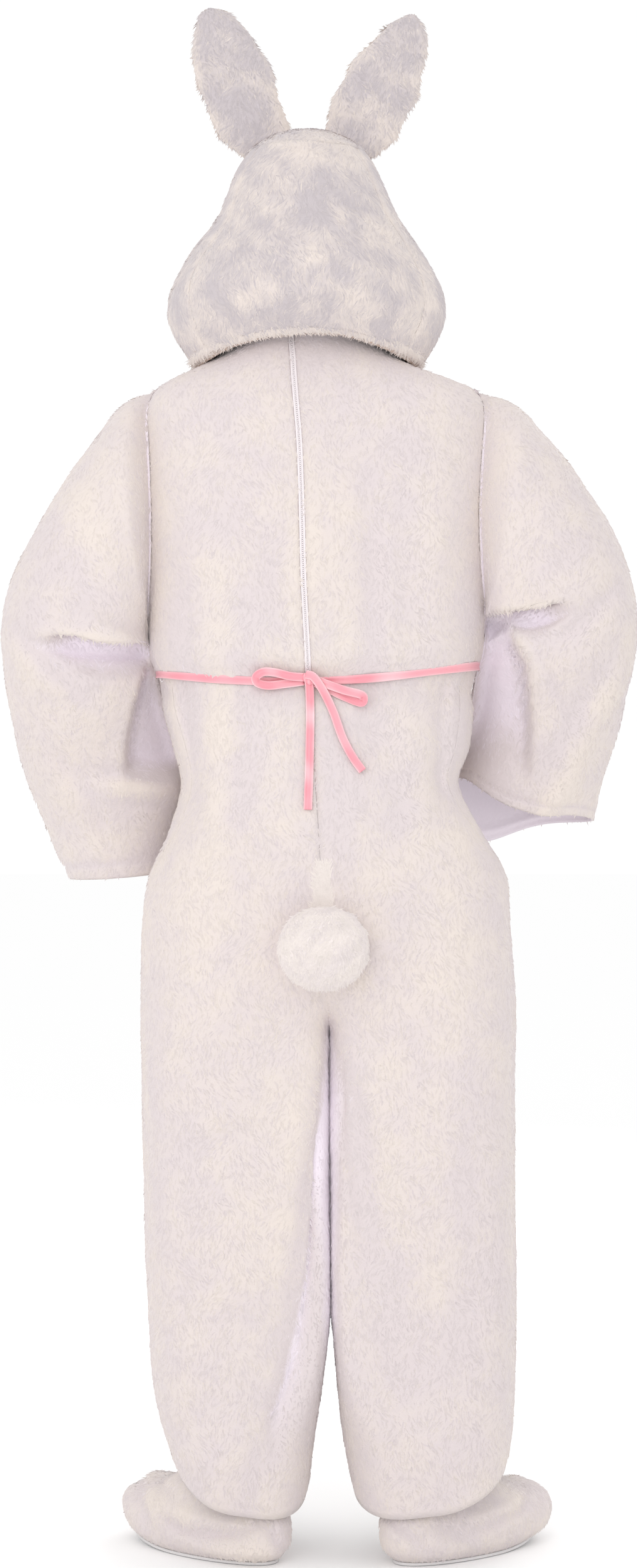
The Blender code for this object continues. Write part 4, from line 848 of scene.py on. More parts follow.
heights = np.linspace(ZIP_TOP, ZIP_END + 0.004, 120)
seam = np.array([read_table(BODY, height)[0] for height in heights])
depth = np.array([back_surface(x + 1e-6, height) for x, height in zip(seam, heights)])
for side, sign in (("left", 1.0), ("right", -1.0)):
    out, rise = np.array(ZIP_PROFILE).T
    strip = np.stack([seam[:, None] + sign * out[None], depth[:, None] + rise[None],
                      np.repeat(heights[:, None] + FLOOR, len(out), axis=1)], -1)
    facing = np.zeros_like(strip) + (0.0, 1.0, 0.0)
    shell(f"zip_half_{side}", strip, facing, 0.0007, zip_white, np.zeros(strip.shape[:2]), slot="zip",
          replaced=(f"zip_tape_{side}",))
count = int((ZIP_TOP - ZIP_END) / ZIP_PITCH)
middle = np.linspace(ZIP_TOP - 0.002, ZIP_END + 0.006, count)
teeth_x = np.interp(-middle, -heights, seam) + np.where(np.arange(count) % 2 == 0, 0.0003, -0.0003)
teeth = np.stack([teeth_x, np.interp(-middle, -heights, depth) - 0.0009, middle + FLOOR], -1)
corners = np.array([[a, b, c] for a in (-1, 1) for b in (-1, 1) for c in (-1, 1)]) * ZIP_TOOTH
verts = (teeth[:, None, :] + corners[None]).reshape(-1, 3)
sides = np.array([[0, 1, 3, 2], [4, 6, 7, 5], [0, 4, 5, 1], [2, 3, 7, 6], [0, 2, 6, 4], [1, 5, 7, 3]])
faces = (np.arange(count)[:, None, None] * 8 + sides[None]).reshape(-1, 4)
new_piece("zip_teeth", verts, faces, zip_white, slot="zip")

# ---- Zip slider and its pull tab ----
# A small nickel-plated slider at the top of the zip, under the head's rim, with a flat pull tab on its pin.
nickel = grained_material("nickel_plate", 1200.0, (0.60, 0.59, 0.57), (0.74, 0.73, 0.71), metallic=1.0,
                          roughness=0.24)
for name in ("zip_slider", "zip_pull_tab"):
    bpy.data.objects[name].data.materials.clear()
    bpy.data.objects[name].data.materials.append(nickel)

# ---- Satin ribbon ----
# A pink satin ribbon ten millimetres wide, tied at the waist over the back seam in a flat bow, its two free
# ends hanging down, and held at the side seams by small loops of white thread.
RIBBON = 0.0102
SATIN = 0.0005
KNOT = np.array([0.0115, back_surface(0.0116, 1.0655) + 0.0085, 1.0655])
KNOT_SIZE = (0.0080, 0.0044, 0.0072)
# Routes of the bow's loops and ends, as offsets from the knot: across, off the back, up. Where the second is
# None, the ribbon lies on the back.
BOW = {
    "ribbon_loop_left": [
        (0.0060, 0.0010, 0.0018), (0.0220, 0.0022, 0.0030), (0.0400, 0.0040, 0.0072),
        (0.0540, 0.0046, 0.0080), (0.0630, 0.0030, 0.0020), (0.0610, -0.0008, -0.0050),
        (0.0480, -0.0022, -0.0080), (0.0280, -0.0024, -0.0058), (0.0060, -0.0020, -0.0028),
    ],
    "ribbon_loop_right": [
        (-0.0060, 0.0014, -0.0005), (-0.0240, 0.0036, -0.0075), (-0.0430, 0.0050, -0.0140),
        (-0.0620, 0.0040, -0.0190), (-0.0655, 0.0012, -0.0240), (-0.0620, -0.0012, -0.0285),
        (-0.0440, -0.0014, -0.0220), (-0.0240, -0.0016, -0.0125), (-0.0060, -0.0016, -0.0040),
    ],
    "ribbon_tail_long": [
        (0.0004, 0.0010, -0.0010), (-0.0008, -0.0010, -0.0120), (-0.0016, None, -0.0420),
        (-0.0012, None, -0.0760), (-0.0004, None, -0.1100), (0.0006, None, -0.1400), (0.0012, None, -0.1560),
    ],
    "ribbon_tail_short": [
        (0.0040, 0.0046, 0.0050), (-0.0060, 0.0060, 0.0015), (-0.0190, 0.0040, -0.0180),
        (-0.0300, None, -0.0420), (-0.0400, None, -0.0700), (-0.0520, None, -0.0930),
        (-0.0640, None, -0.1100),
    ],
}
satin = bpy.data.materials.new("pink_satin")
satin.use_nodes = True
satin_shader = satin.node_tree.nodes["Principled BSDF"]
satin_shader.inputs["Roughness"].default_value = 0.42
satin_shader.inputs["Sheen Weight"].default_value = 0.2
satin_shader.inputs["Anisotropic"].default_value = 0.5
# The tint attribute mixes the pink towards a lighter pink: painted sheen where the pieces set it high.
satin_tint = satin.node_tree.nodes.new("ShaderNodeAttribute")
satin_tint.attribute_name = "tint"
satin_tone = satin.node_tree.nodes.new("ShaderNodeMix")
satin_tone.data_type = "RGBA"
satin_tone.inputs["A"].default_value = (0.800, 0.290, 0.345, 1.0)
satin_tone.inputs["B"].default_value = (0.900, 0.580, 0.610, 1.0)
satin.node_tree.links.new(satin_tint.outputs["Fac"], satin_tone.inputs["Factor"])
satin.node_tree.links.new(satin_tone.outputs["Result"], satin_shader.inputs["Base Color"])


def ribbon_length(name, route, width=RIBBON, flip=0.0):
    """A length of ribbon along a route, its face to the back, cupped a little along its edges."""
    route = np.array(route)
    along = np.gradient(route, axis=0)
    along /= np.linalg.norm(along, axis=1, keepdims=True)
    across = np.cross(along, (0.0, 1.0, 0.0))
    across /= np.linalg.norm(across, axis=1, keepdims=True)
    for k in range(1, len(across)):
        across[k] *= np.sign(across[k].dot(across[k - 1])) or 1.0
    face = np.cross(across, along)
    face *= np.sign(face[:, 1:2].sum()) or 1.0
    spread = np.linspace(-1.0, 1.0, 9)
    cup = 0.0006 * spread ** 2 - 0.0004 * np.cos(spread * 7.0 + flip)
    grid = (route[:, None] + across[:, None] * (0.5 * width * spread)[None, :, None]
            + face[:, None] * cup[None, :, None])
    grid[..., 2] += FLOOR
    facing = np.repeat(face[:, None], 9, axis=1)
    # Painted sheen: lighter towards both cupped edges, with random tone.
    tint = 0.12 + 0.75 * spread[None, :] ** 4 + 0.22 * wander(grid, 0.020, 401)
    return shell(f"{name}_satin", grid, facing, SATIN, satin, tint, slot="satin", replaced=(name,))


for name, offsets in BOW.items():
    table = [(float(k), across, up) for k, (across, _, up) in enumerate(offsets)]
    out = [0.0 if off is None else off for _, off, _ in offsets]
    lying = [0.0 if off is None else 1.0 for _, off, _ in offsets]
    route = []
    for t in np.linspace(0.0, len(offsets) - 1.0, 60):
        across, up = read_table(table, t)
        free = smooth(np.interp(t, range(len(out)), lying))
        x, z = KNOT[0] + across, KNOT[2] + up
        near = back_surface(x, z) + (0.0048 if "short" in name else 0.0036)
        route.append((x, near + (KNOT[1] + np.interp(t, range(len(out)), out) - near) * free, z))
    piece = ribbon_length(name, route, flip=float(len(name)))


def closed_rings(name, rings, material, tint=None, **facts):
    """A solid piece through rings of points, with a domed cap at each end."""
    rows, cols = rings.shape[:2]
    index = np.arange(rows * cols).reshape(rows, cols)
    after = np.roll(index, -1, axis=1)
    quads = np.stack([index[:-1], after[:-1], after[1:], index[1:]], axis=-1).reshape(-1, 4)
    caps = rings[[0, -1]].mean(axis=1)
    points = np.concatenate([rings.reshape(-1, 3), caps])
    first, last = rows * cols, rows * cols + 1
    faces = np.concatenate([
        quads[:, [0, 1, 2]], quads[:, [0, 2, 3]],
        np.stack([after[0], index[0], np.full(cols, first)], axis=-1),
        np.stack([index[-1], after[-1], np.full(cols, last)], axis=-1),
    ])
    a, b, c = (points[faces[:, k]] for k in range(3))
    if np.sum(np.cross(a, b) * c) < 0:
        faces = faces[:, ::-1]
    tint = np.zeros((rows, cols)) if tint is None else tint
    tint = np.concatenate([tint.ravel(), tint[0, :1], tint[-1, :1]])
    return new_piece(name, points, faces, material, tint=tint, **facts)


# The knot: ribbon wrapped round the crossing, with painted sheen and shade in bands across its wraps.
lean = np.linspace(0.12, math.pi - 0.12, 16)[:, None]
turn = np.linspace(0.0, math.tau, 32, endpoint=False)[None, :]
wrap = np.stack(np.broadcast_arrays(
    KNOT[0] + KNOT_SIZE[0] * np.cos(lean),
    KNOT[1] + KNOT_SIZE[1] * np.sin(lean) * np.cos(turn),
    KNOT[2] + FLOOR + KNOT_SIZE[2] * np.sin(lean) * np.sin(turn) + 0.0024 * np.cos(lean)), -1)
closed_rings("ribbon_knot_satin", wrap, satin, slot="satin", replaced=("ribbon_knot",),
             tint=np.repeat(0.25 + 0.3 * np.sin(9.0 * lean), turn.size, axis=1))
# The belt runs round the waist, a little off the plush.
BELT_LAY = 0.0027
turns = np.radians(np.linspace(-90.0, 90.0, 90, endpoint=False))
loop = []
for side, sign in (("left", 1.0), ("right", -1.0)):
    for angle in (turns if side == "left" else -turns):
        centre, half, _, _, _, _ = body_section(side, WAIST)
        height = ribbon_height(centre + half * np.cos(angle) ** (2.0 / SQUARE))
        centre, half, back, front, _, _ = body_section(side, height)
        x = centre + (half + sign * BELT_LAY) * np.cos(angle) ** (2.0 / SQUARE)
        reach = (back if angle > 0 else -front) + BELT_LAY
        y = np.sign(angle) * reach * abs(np.sin(angle)) ** (2.0 / SQUARE)
        loop.append((x, y, height))
loop = np.array(loop)
spread = np.linspace(-1.0, 1.0, 7)[:, None]
wide = (0.0049 + 0.0005 * wander(loop, 0.06, 411))[None]
belt = np.repeat(loop[None], 7, axis=0)
belt[..., 2] += spread * wide + FLOOR
facing = belt * (1.0, 1.0, 0.0)
facing /= np.linalg.norm(facing, axis=2, keepdims=True)
belt += facing * (0.0005 * spread ** 2 - 0.0004 * np.cos(spread * 6.0 + 0.5))[..., None]
# Painted sheen along both edges of the belt, as on the bow, with random tone.
tint = 0.15 + 0.65 * spread ** 4 + 0.30 * wander(belt, 0.030, 412)
belt_piece = shell("ribbon_belt_satin", belt, facing, SATIN, satin, tint, closed_ring=True, slot="satin",
                   replaced=("ribbon_belt",))


def wrapped(name, grid, material, tint=None, **facts):
    """A piece whose grid of points closes on itself both ways, like a ring."""
    rows, cols = grid.shape[:2]
    index = np.arange(rows * cols).reshape(rows, cols)
    below, after = np.roll(index, -1, axis=0), np.roll(index, -1, axis=1)
    faces = np.stack([index, after, np.roll(below, -1, axis=1), below], axis=-1).reshape(-1, 4)
    volume = volume_of(grid.reshape(-1, 3), faces)
    faces = faces if volume > 0 else faces[:, ::-1]
    tint = np.zeros(rows * cols) if tint is None else tint.ravel()
    return new_piece(name, grid.reshape(-1, 3), faces, material, tint=tint, **facts)


def volume_of(points, faces):
    """Signed volume that faces of four corners hold."""
    a, b, c, d = (points[faces[:, k]] for k in range(4))
    return np.sum(np.cross(a, b) * c + np.cross(a, c) * d) / 6.0


# A loop of white thread at each side seam keeps the ribbon up.
THREAD_TURN = math.radians(14.0)
THREAD_THICK = 0.0014
THREAD_LOOP = (0.0026, 0.0085)  # half depth, half height
cotton = bpy.data.materials.new("white_cotton_thread")
cotton.use_nodes = True
cotton_shader = cotton.node_tree.nodes["Principled BSDF"]
cotton_shader.inputs["Base Color"].default_value = (0.90, 0.88, 0.88, 1.0)
cotton_shader.inputs["Roughness"].default_value = 0.6
for side in ("left", "right"):
    centre, half, back, _, _, _ = body_section(side, WAIST)
    x = centre + half * math.cos(THREAD_TURN) ** (2.0 / SQUARE)
    y = back * math.sin(THREAD_TURN) ** (2.0 / SQUARE)
    out = np.array([math.copysign(math.cos(THREAD_TURN), half), math.sin(THREAD_TURN), 0.0])
    round_path = np.linspace(0.0, math.tau, 28, endpoint=False)
    path = (np.array([x, y, ribbon_height(x) + FLOOR]) + out * 0.0028
            + out * (THREAD_LOOP[0] * np.cos(round_path))[:, None]
            + np.array([0.0, 0.0, 1.0]) * (THREAD_LOOP[1] * np.sin(round_path))[:, None])
    run = np.cross(out, (0.0, 0.0, 1.0))
    turn = np.linspace(0.0, math.tau, 8, endpoint=False)[:, None, None]
    radial = path - path.mean(axis=0)
    radial /= np.linalg.norm(radial, axis=1, keepdims=True)
    tube = path[None] + 0.5 * THREAD_THICK * (np.cos(turn) * radial[None] + np.sin(turn) * run[None, None])
    wrapped(f"ribbon_thread_loop_{side}", tube, cotton)

# ---- Mascot head ----
# A round head of plush over thin foam, sewn from a back, a face and two cheek gores under a domed crown
# piece. It rests on the wearer's own head and shoulders; the rim at the neck is a rolled edge of pile.
HEAD_X = 0.014
HEAD = [
    # height  half   back    front
    (1.4543, 0.142, 0.108, -0.125),
    (1.472, 0.154, 0.124, -0.142),
    (1.490, 0.164, 0.136, -0.158),
    (1.515, 0.171, 0.148, -0.176),
    (1.545, 0.168, 0.150, -0.184),
    (1.572, 0.155, 0.144, -0.184),
    (1.600, 0.136, 0.134, -0.176),
    (1.630, 0.114, 0.122, -0.160),
    (1.662, 0.099, 0.110, -0.140),
    (1.692, 0.086, 0.096, -0.118),
    (1.714, 0.073, 0.080, -0.098),
]
HEAD_WALL = 0.008
HEAD_RIM_LIFT = 0.029
HEAD_RIM_TOP = 1.560
HEAD_GORES = {"head_back": (32, 148), "head_cheek_right": (148, 240),
              "head_face": (240, 300), "head_cheek_left": (300, 392)}
CROWN_HEIGHT = 0.027
head_plush = plush_material("white_plush_head", cool=(0.515, 0.468, 0.484), warm=(0.710, 0.634, 0.590))


def head_grid(start, end, rows=64, cols=40, sink=0.0015):
    """The outside of one gore of the head as a grid, and its tint."""
    grid = np.zeros((rows, cols, 3))
    facing = np.zeros((rows, cols, 3))
    turn = np.radians(np.linspace(start, end, cols))
    edge = np.linspace(0.0, 1.0, cols)
    for r, height in enumerate(np.linspace(HEAD[0][0] + 0.003, HEAD[-1][0], rows)):
        half, back, front = read_table(HEAD, height)
        depth = np.where(np.sin(turn) >= 0.0, back, -front)
        low = max(0.0, (HEAD_RIM_TOP - height) / (HEAD_RIM_TOP - HEAD[0][0]))
        rise = HEAD_RIM_LIFT * np.maximum(0.0, np.sin(turn)) ** 2 * low
        grid[r] = np.stack([HEAD_X + (half - sink) * np.cos(turn), (depth - sink) * np.sin(turn),
                            height + rise], -1)
        facing[r] = np.stack([np.cos(turn), np.sin(turn), np.zeros(cols)], -1)
    normals = grid_normals(grid, facing)
    seam_line = np.exp(-((edge * 26.0) ** 2)) + np.exp(-(((1.0 - edge) * 26.0) ** 2))
    lift = 0.0016 * wander(grid, 0.045, 31) - 0.0022 * seam_line[None, :]
    lift *= smooth(np.linspace(0.0, 12.0, rows))[:, None]
    grid += normals * lift[..., None]
    # The tint follows the lumps, painted highlight where the plush is lifted and painted shade where it
    # sinks, creamier along the seams, with random mottling.
    tint = 16.0 * lift + 0.22 * seam_line[None, :]
    tint += 0.09 * wander(grid, 0.05, 33)
    tint += 0.09 * wander(grid, 0.02, 34)
    for side, inner in ((0, 1), (-1, -2)):
        step = grid[:, inner] - grid[:, side]
        grid[:, side] += step / np.linalg.norm(step, axis=1, keepdims=True) * SEAM
    grid[..., 2] += FLOOR
    return grid, normals, tint


for name, (start, end) in HEAD_GORES.items():
    share = (end - start) / 116.0
    grid, normals, tint = head_grid(start, end, cols=max(20, round(40 * share)))
    cloth = shell(f"{name}_cloth", grid, normals, HEAD_WALL - 0.0015, head_plush, tint, replaced=(name,))
    nap = pile(f"{name}_pile", grid, normals, tint, head_plush, round(6600 * share), seed=301 + start,
               length=0.010)


def crown_height(x, y):
    """Height of the crown piece's outside above a point."""
    _, half, back, front = HEAD[-1]
    reach = ((x - HEAD_X) / half) ** 2 + (y / np.where(y > 0, back, front)) ** 2
    return HEAD[-1][0] + SEAM + CROWN_HEIGHT * (1.0 - np.minimum(1.0, reach) ** 1.2)


_, half, back, front = HEAD[-1]
share = np.linspace(0.02, 1.0, 22)[:, None]
turn = np.linspace(0.0, math.tau, 72, endpoint=False)[None, :]
depth = np.where(np.sin(turn) >= 0.0, back, -front)
x, y = HEAD_X + (half - 0.0012) * share * np.cos(turn), (depth - 0.0012) * share * np.sin(turn)
crown = np.stack([x, y, crown_height(x, y) - 0.0010], -1)
normals = grid_normals(crown, np.array([0.0, 0.0, 1.0]), closed_ring=True)
crown[..., 2] += FLOOR
tint = 0.10 * wander(crown, 0.05, 41)
cloth = shell("head_crown_cloth", crown, normals, HEAD_WALL - 0.002, head_plush, tint, closed_ring=True,
              replaced=("head_crown",))
nap = pile("head_crown_pile", crown, normals, tint, head_plush, 3000, seed=42, closed_ring=True,
           nap=(0.0, 0.5, -1.0))

# The rim at the neck: the plush is turned in over a soft roll.
turn = np.radians(np.linspace(0.0, 360.0, 180, endpoint=False))
half, back, front = HEAD[0][1:]
inset = 0.004
rim_depth = np.where(np.sin(turn) >= 0.0, back, -front)
middle = np.stack([HEAD_X + (half - inset) * np.cos(turn), (rim_depth - inset) * np.sin(turn),
                   HEAD[0][0] + 0.0045 + HEAD_RIM_LIFT * np.maximum(0.0, np.sin(turn)) ** 2], -1)
outwards = np.stack([np.cos(turn), np.sin(turn), np.zeros(len(turn))], -1)
section = np.radians(np.linspace(0.0, 360.0, 14, endpoint=False))
plump = np.maximum(0.0, np.sin(turn)) ** 2
thick = 0.0058 + 0.0080 * plump + 0.0010 * wander(middle, 0.05, 51)
middle[:, 1] -= 0.0080 * plump
middle[:, 2] += 0.0070 * plump
rim = (middle[None] + np.cos(section)[:, None, None] * outwards[None] * thick[None, :, None]
       + np.sin(section)[:, None, None] * np.array([0.0, 0.0, 1.0]) * thick[None, :, None])
rim_facing = (np.cos(section)[:, None, None] * outwards[None]
              + np.sin(section)[:, None, None] * np.array([0.0, 0.0, 1.0]))
rim[..., 2] += FLOOR
wrapped("head_rim_roll", rim, head_plush, tint=np.full(rim.shape[:2], 0.25))
closed = np.concatenate([rim, rim[:1]]), np.concatenate([rim_facing, rim_facing[:1]])
pile("head_rim_pile", closed[0], closed[1], np.full(closed[0].shape[:2], 0.32), head_plush, 3600, seed=52,
     closed_ring=True, length=0.009, rise=0.0035)
lining = bpy.data.materials.new("tan_lining")
lining.use_nodes = True
lining_shader = lining.node_tree.nodes["Principled BSDF"]
lining_shader.inputs["Base Color"].default_value = (0.50, 0.39, 0.33, 1.0)
lining_shader.inputs["Roughness"].default_value = 0.9
# The lining shows just inside the roll: a thinner roll, further in and lower.
wrapped("head_rim_lining", rim + (middle + (0.0, 0.0, FLOOR) - rim) * 0.30
        - 0.0065 * outwards - (0.0, 0.0, 0.0040), lining)

# ---- Ears ----
# Two flat stuffed ears of the head's plush, leaning apart, with painted cream sheen along their edges.
EARS = {
    "left": [
        (1.734, 0.062, 0.030), (1.752, 0.080, 0.043), (1.776, 0.092, 0.048), (1.802, 0.100, 0.049),
        (1.828, 0.107, 0.047), (1.852, 0.115, 0.040), (1.874, 0.122, 0.031), (1.892, 0.129, 0.019),
        (1.8985, 0.131, 0.008),
    ],
    "right": [
        (1.734, -0.036, 0.031), (1.752, -0.054, 0.046), (1.776, -0.065, 0.050), (1.802, -0.075, 0.050),
        (1.828, -0.085, 0.046), (1.852, -0.096, 0.038), (1.872, -0.106, 0.026), (1.885, -0.113, 0.013),
        (1.8915, -0.115, 0.006),
    ],
}
EAR_Y = -0.030
EAR_THICK = 0.0215
for side in ("left", "right"):
    rows = []
    turn = np.linspace(0.0, math.tau, 64, endpoint=False)
    for height in np.linspace(EARS[side][0][0], EARS[side][-1][0], 60):
        middle, half = read_table(EARS[side], height)
        half = max(half - 0.0012, 0.004)
        x = middle + half * np.cos(turn)
        y = EAR_Y + 0.5 * EAR_THICK * min(1.0, half / 0.026) * np.sin(turn)
        root = smooth((height - EARS[side][0][0]) / 0.030)
        z = height + (1.0 - root) * (crown_height(x, y) + 0.0008 - EARS[side][0][0])
        rows.append(np.stack([x, y, z], -1))
    ear = np.array(rows)
    facing = ear - ear.mean(axis=1, keepdims=True)
    normals = grid_normals(ear, facing, closed_ring=True)
    edge = np.abs(np.cos(turn))[None, :] ** 6
    lift = 0.0012 * wander(ear, 0.030, 61) * smooth(np.linspace(0.0, 10.0, 60))[:, None]
    ear += normals * lift[..., None]
    # Painted cream sheen along the ear's thin edges, painted highlight and shade on its lumps, a little
    # cooler overall, and random tone.
    tint = 0.30 * edge - 0.10 + 20.0 * lift + 0.12 * wander(ear, 0.03, 63)
    ear[..., 2] += FLOOR
    body = closed_rings(f"ear_{side}_stuffed", ear, head_plush, tint, replaced=(f"ear_{side}",))
    pile(f"ear_{side}_pile", ear, normals, tint, head_plush, 4200, seed=65 + len(side), closed_ring=True,
         length=0.008, rise=0.0028)

# ---- Face ----
# A plain face: a stuffed muzzle pad, a small pink nose pad and two glossy black eye domes.
MUZZLE = {"height": 1.550, "half_width": 0.068, "half_height": 0.046, "bulge": 0.034}
NOSE = {"height": 1.566, "half_width": 0.017, "half_height": 0.011, "bulge": 0.010}
EYE = {"height": 1.622, "half_width": 0.013, "half_height": 0.020, "bulge": 0.006, "apart": 0.034}
nose_pink = plush_material("nose_plush_pink", cool=(0.74, 0.36, 0.42), warm=(0.84, 0.48, 0.52))
eye_black = bpy.data.materials.new("eye_black_plastic")
eye_black.use_nodes = True
eye_black.node_tree.nodes["Principled BSDF"].inputs["Base Color"].default_value = (0.012, 0.012, 0.014, 1.0)
eye_black.node_tree.nodes["Principled BSDF"].inputs["Roughness"].default_value = 0.16


def face_depth(x, z):
    """Depth of the face gore's outside at a place on it."""
    flat = np.array([read_table(HEAD, height) for height in np.ravel(z)])
    half, front = flat[:, 0].reshape(z.shape), flat[:, 2].reshape(z.shape)
    return front * np.sqrt(1.0 - ((x - HEAD_X) / half) ** 2)


def muzzle_depth(x, z):
    """Depth of the muzzle's outside at a place on it."""
    reach = ((x - HEAD_X) / MUZZLE["half_width"]) ** 2 + ((z - MUZZLE["height"]) / MUZZLE["half_height"]) ** 2
    return face_depth(x, z) - MUZZLE["bulge"] * (1.0 - np.minimum(1.0, reach)) ** 0.6


def face_pad(name, carrier, x, size, off, material, slot, replaced):
    """A domed pad on the face: its outside from the middle out, then its back from the edge in."""
    turn = np.linspace(0.0, math.tau, 48, endpoint=False)[None, :]
    share = np.concatenate([np.linspace(0.05, 1.0, 14), np.linspace(0.97, 0.05, 10)])[:, None]
    px = x + size["half_width"] * share * np.cos(turn)
    pz = size["height"] + size["half_height"] * share * np.sin(turn)
    front = (np.arange(24) < 14)[:, None]
    dome = np.where(front, 0.001 + size["bulge"] * (1.0 - share ** 2) ** 0.6, 0.0)
    rings = np.stack([px, carrier(px, pz) - off - dome, pz + FLOOR], -1)
    return rings, closed_rings(name, rings, material, slot=slot, replaced=(replaced,))


rings, muzzle = face_pad("muzzle_stuffed", face_depth, HEAD_X, MUZZLE, 0.0015, head_plush, "plush", "muzzle")
front = rings[:14]
pile("muzzle_pile", front, grid_normals(front, np.array([0.0, -1.0, 0.0]), closed_ring=True),
     np.zeros(front.shape[:2]), head_plush, 1400, seed=71, closed_ring=True, length=0.007, rise=0.0025)
_, nose = face_pad("nose_stuffed", muzzle_depth, HEAD_X, NOSE, 0.0030, nose_pink, "nose", "nose")
for side, sign in (("left", 1.0), ("right", -1.0)):
    face_pad(f"eye_{side}_dome", face_depth, HEAD_X + sign * EYE["apart"], EYE, 0.0009, eye_black, "eye",
             f"eye_{side}")

# ---- Pompom tail ----
# A stuffed ball with the longest pile of the costume, sewn to the seat over the centre seam.
# A lighter copy of the white plush: painted light that offsets the shade the deep pile and the seat give the
# tail.
tail_plush = plush_material("white_plush_tail", cool=(0.740, 0.670, 0.665), warm=(0.800, 0.730, 0.690))
TAIL = {"height": 0.748, "half_width": 0.053, "half_height": 0.047, "half_depth": 0.046, "pressed": 0.016}
tail_x = read_table(BODY, TAIL["height"])[0]
seat = back_surface(tail_x + 1e-6, TAIL["height"])
lean = np.linspace(0.06, math.pi - 0.06, 30)[:, None]
turn = np.linspace(0.0, math.tau, 56, endpoint=False)[None, :]
x = tail_x + TAIL["half_width"] * np.sin(lean) * np.cos(turn)
z = TAIL["height"] + TAIL["half_height"] * np.sin(lean) * np.sin(turn)
y = seat + TAIL["half_depth"] * (1.0 - np.cos(lean)) - TAIL["pressed"]
on_seat = np.array([[back_surface(a, b) for a, b in zip(row_x, row_z)] for row_x, row_z in zip(x, z)])
ball = np.stack([x, np.maximum(y, on_seat + 0.0020), z], -1)
facing = ball - np.array([tail_x, seat + 0.028, TAIL["height"]])
normals = facing / np.linalg.norm(facing, axis=2, keepdims=True)
ball[..., 2] += FLOOR
tint = 0.04 + 0.12 * wander(ball, 0.02, 81)
tail = closed_rings("tail_pompom_stuffed", ball, tail_plush, tint, replaced=("tail_pompom",))
outer_side = normals[11:] + np.array([0.0, 0.7, 0.0])
# Its pile is tinted a little warmer and lighter again, painted light as for the ball.
pile("tail_pompom_pile", ball[11:], outer_side, tint[11:] + 0.1, tail_plush, 5200, seed=82, closed_ring=True,
     length=0.008, rise=0.0040, width=0.0028, nap=(0.15, 0.2, -1.0))

# A longer tuft of the seat's pile stands up over the tail.
across, height = np.meshgrid(np.linspace(-0.012, 0.013, 8), np.linspace(0.842, 0.786, 12))
patch = np.array([[(tail_x + a * (0.5 + 0.5 * k / 11.0), back_surface(tail_x + a + 1e-6, h) + 0.0004,
                    h + FLOOR)
                   for a, h in zip(row_a, row_h)] for k, (row_a, row_h) in enumerate(zip(across, height))])
pile("seat_tuft", patch, grid_normals(patch, np.array([0.0, 1.0, 0.0])), np.full(across.shape, 0.7),
     tail_plush, 900, seed=84, length=0.012, rise=0.0035, width=0.0022, nap=(0.5, 0.0, 0.8))

# ---- Foot covers ----
# Two plush covers that go over the wearer's shoes, each on a flat felt sole; the leg hems hang over them.
FOOT = [
    # height  half length  half width  shift towards the heel
    (0.0036, 0.120, 0.056, 0.000),
    (0.016, 0.136, 0.067, 0.000),
    (0.036, 0.139, 0.070, 0.000),
    (0.056, 0.126, 0.066, 0.010),
    (0.074, 0.098, 0.059, 0.028),
    (0.090, 0.074, 0.054, 0.042),
    (0.106, 0.062, 0.050, 0.050),
]
# Where each foot stands: across, depth, and the turn of its toes in degrees.
FEET = {"left": (0.1360, -0.0155, 42), "right": (-0.1775, -0.0118, -42)}
TOE_SPREAD = 0.14   # the toes are this much wider than the middle
TOE_SPRING = 0.018  # and their tip lifts this far off the floor
FOOT_REACH = 0.139
SOLE = 0.0030
# Creases of each foot cover, as for the body.
FOOT_CREASES = {
    "left": [
        (0.193, 0.046, 0.163, 0.034, 0.006, -0.007), (0.163, 0.034, 0.110, 0.038, 0.005, -0.006),
        (0.110, 0.038, 0.075, 0.050, 0.006, -0.004), (0.190, 0.058, 0.120, 0.050, 0.009, 0.005),
        (0.235, 0.096, 0.190, 0.078, 0.005, -0.004), (0.228, 0.075, 0.212, 0.034, 0.008, -0.005),
        (0.205, 0.070, 0.192, 0.032, 0.010, 0.004), (0.060, 0.050, 0.040, 0.016, 0.008, -0.005),
        (0.150, 0.018, 0.070, 0.014, 0.010, 0.003),
    ],
    "right": [
        (-0.196, 0.040, -0.250, 0.050, 0.007, -0.006), (-0.250, 0.050, -0.268, 0.078, 0.007, -0.004),
        (-0.085, 0.056, -0.128, 0.024, 0.006, -0.006), (-0.190, 0.052, -0.262, 0.064, 0.009, 0.005),
        (-0.262, 0.090, -0.280, 0.060, 0.009, -0.004), (-0.150, 0.046, -0.180, 0.030, 0.009, -0.004),
        (-0.100, 0.030, -0.200, 0.020, 0.012, 0.004),
    ],
}
felt = grained_material("felt_sole", 300.0, (0.60, 0.58, 0.58), (0.74, 0.72, 0.72), roughness=0.95)


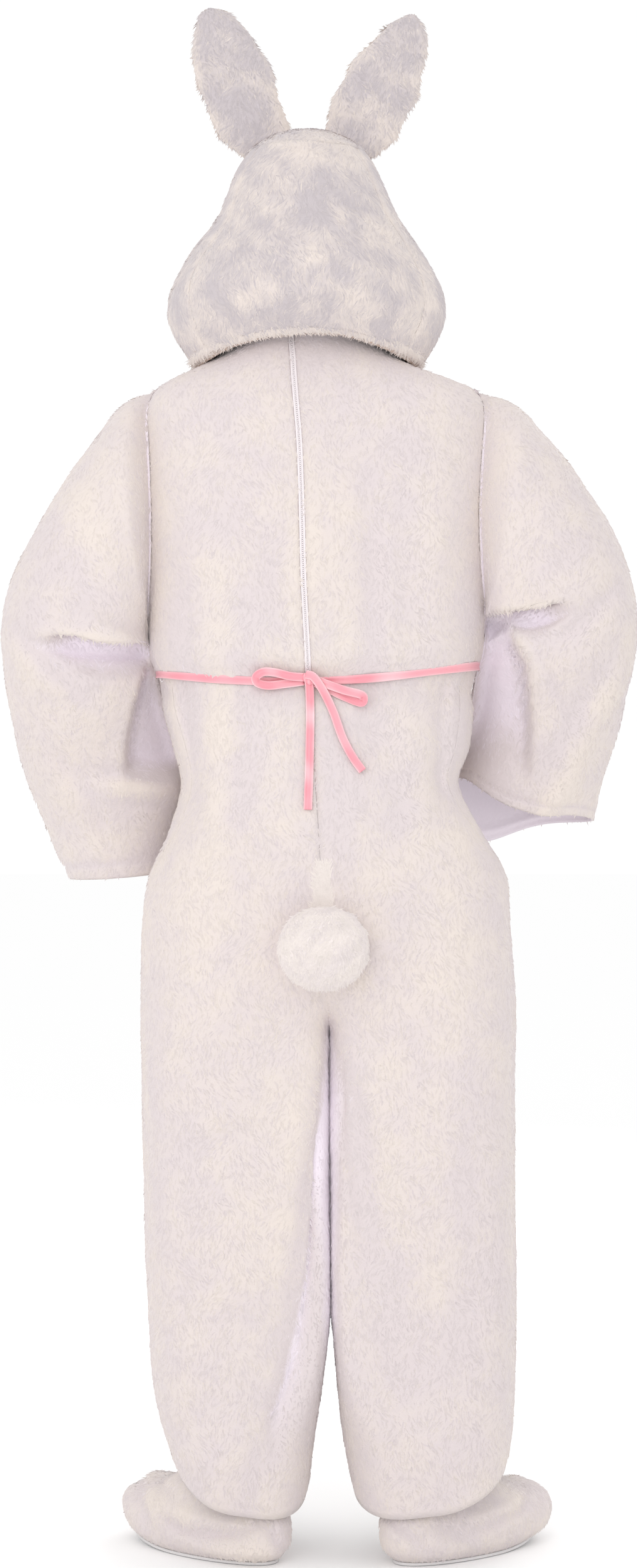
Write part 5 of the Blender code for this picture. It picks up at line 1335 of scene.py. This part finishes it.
def foot_ring(side, height, half_length, half_width, shift, count=72):
    """An egg-shaped ring of a foot cover, wider at the toes, and the way each point faces."""
    x, y, turn = FEET[side]
    toe = np.array([math.sin(math.radians(turn)), -math.cos(math.radians(turn)), 0.0])
    across = np.array([-toe[1], toe[0], 0.0])
    angle = np.linspace(0.0, math.tau, count, endpoint=False)[:, None]
    wide = half_width * (1.0 + TOE_SPREAD * np.cos(angle))
    out = toe * half_length * np.cos(angle) + across * wide * np.sin(angle)
    ring = np.array([x, y, height]) - toe * shift + out
    forward = np.maximum(0.0, (ring - np.array([x, y, height])) @ toe / FOOT_REACH)
    ring[:, 2] += TOE_SPRING * forward ** 2
    return ring, out


for side in ("left", "right"):
    rows = [foot_ring(side, height, *(np.array(read_table(FOOT, height)) - (0.0012, 0.0012, 0.0)))
            for height in np.linspace(FOOT[0][0], FOOT[-1][0] - 0.001, 40)]
    grid, facing = (np.array(part) for part in zip(*rows))
    normals = grid_normals(grid, facing, closed_ring=True)
    ends = smooth(np.linspace(0.0, 8.0, 40))[:, None]
    creased = crease_lift(grid[..., 0], grid[..., 2], FOOT_CREASES[side]) * ends * (normals[..., 1] > -0.4)
    lift = creased + 0.0030 * wander(grid, 0.05, 91) * ends
    grid += normals * lift[..., None]
    # The tint follows the creases and lumps: painted highlight where lifted, painted shade where sunk, with
    # random tone.
    tint = 10.0 * lift + 30.0 * creased + 0.08 * wander(grid, 0.05, 92)
    grid[..., 2] += FLOOR
    cloth = shell(f"foot_cover_{side}_cloth", grid, normals, PLUSH - 0.0010, plush, tint, closed_ring=True,
                  replaced=(f"foot_cover_{side}",))
    nap = pile(f"foot_cover_{side}_pile", grid[1:], normals[1:], tint[1:], plush, 5600, seed=93 + len(side),
               closed_ring=True)
    _, sole_length, sole_width, _ = FOOT[0]
    edge = np.array([foot_ring(side, z, sole_length, sole_width, 0.0)[0]
                     for z in (0.0, 0.0006, SOLE - 0.0006, SOLE)])
    edge[..., 2] += FLOOR
    sole = closed_rings(f"foot_sole_{side}_felt", edge, felt, slot="felt", replaced=(f"foot_sole_{side}",))
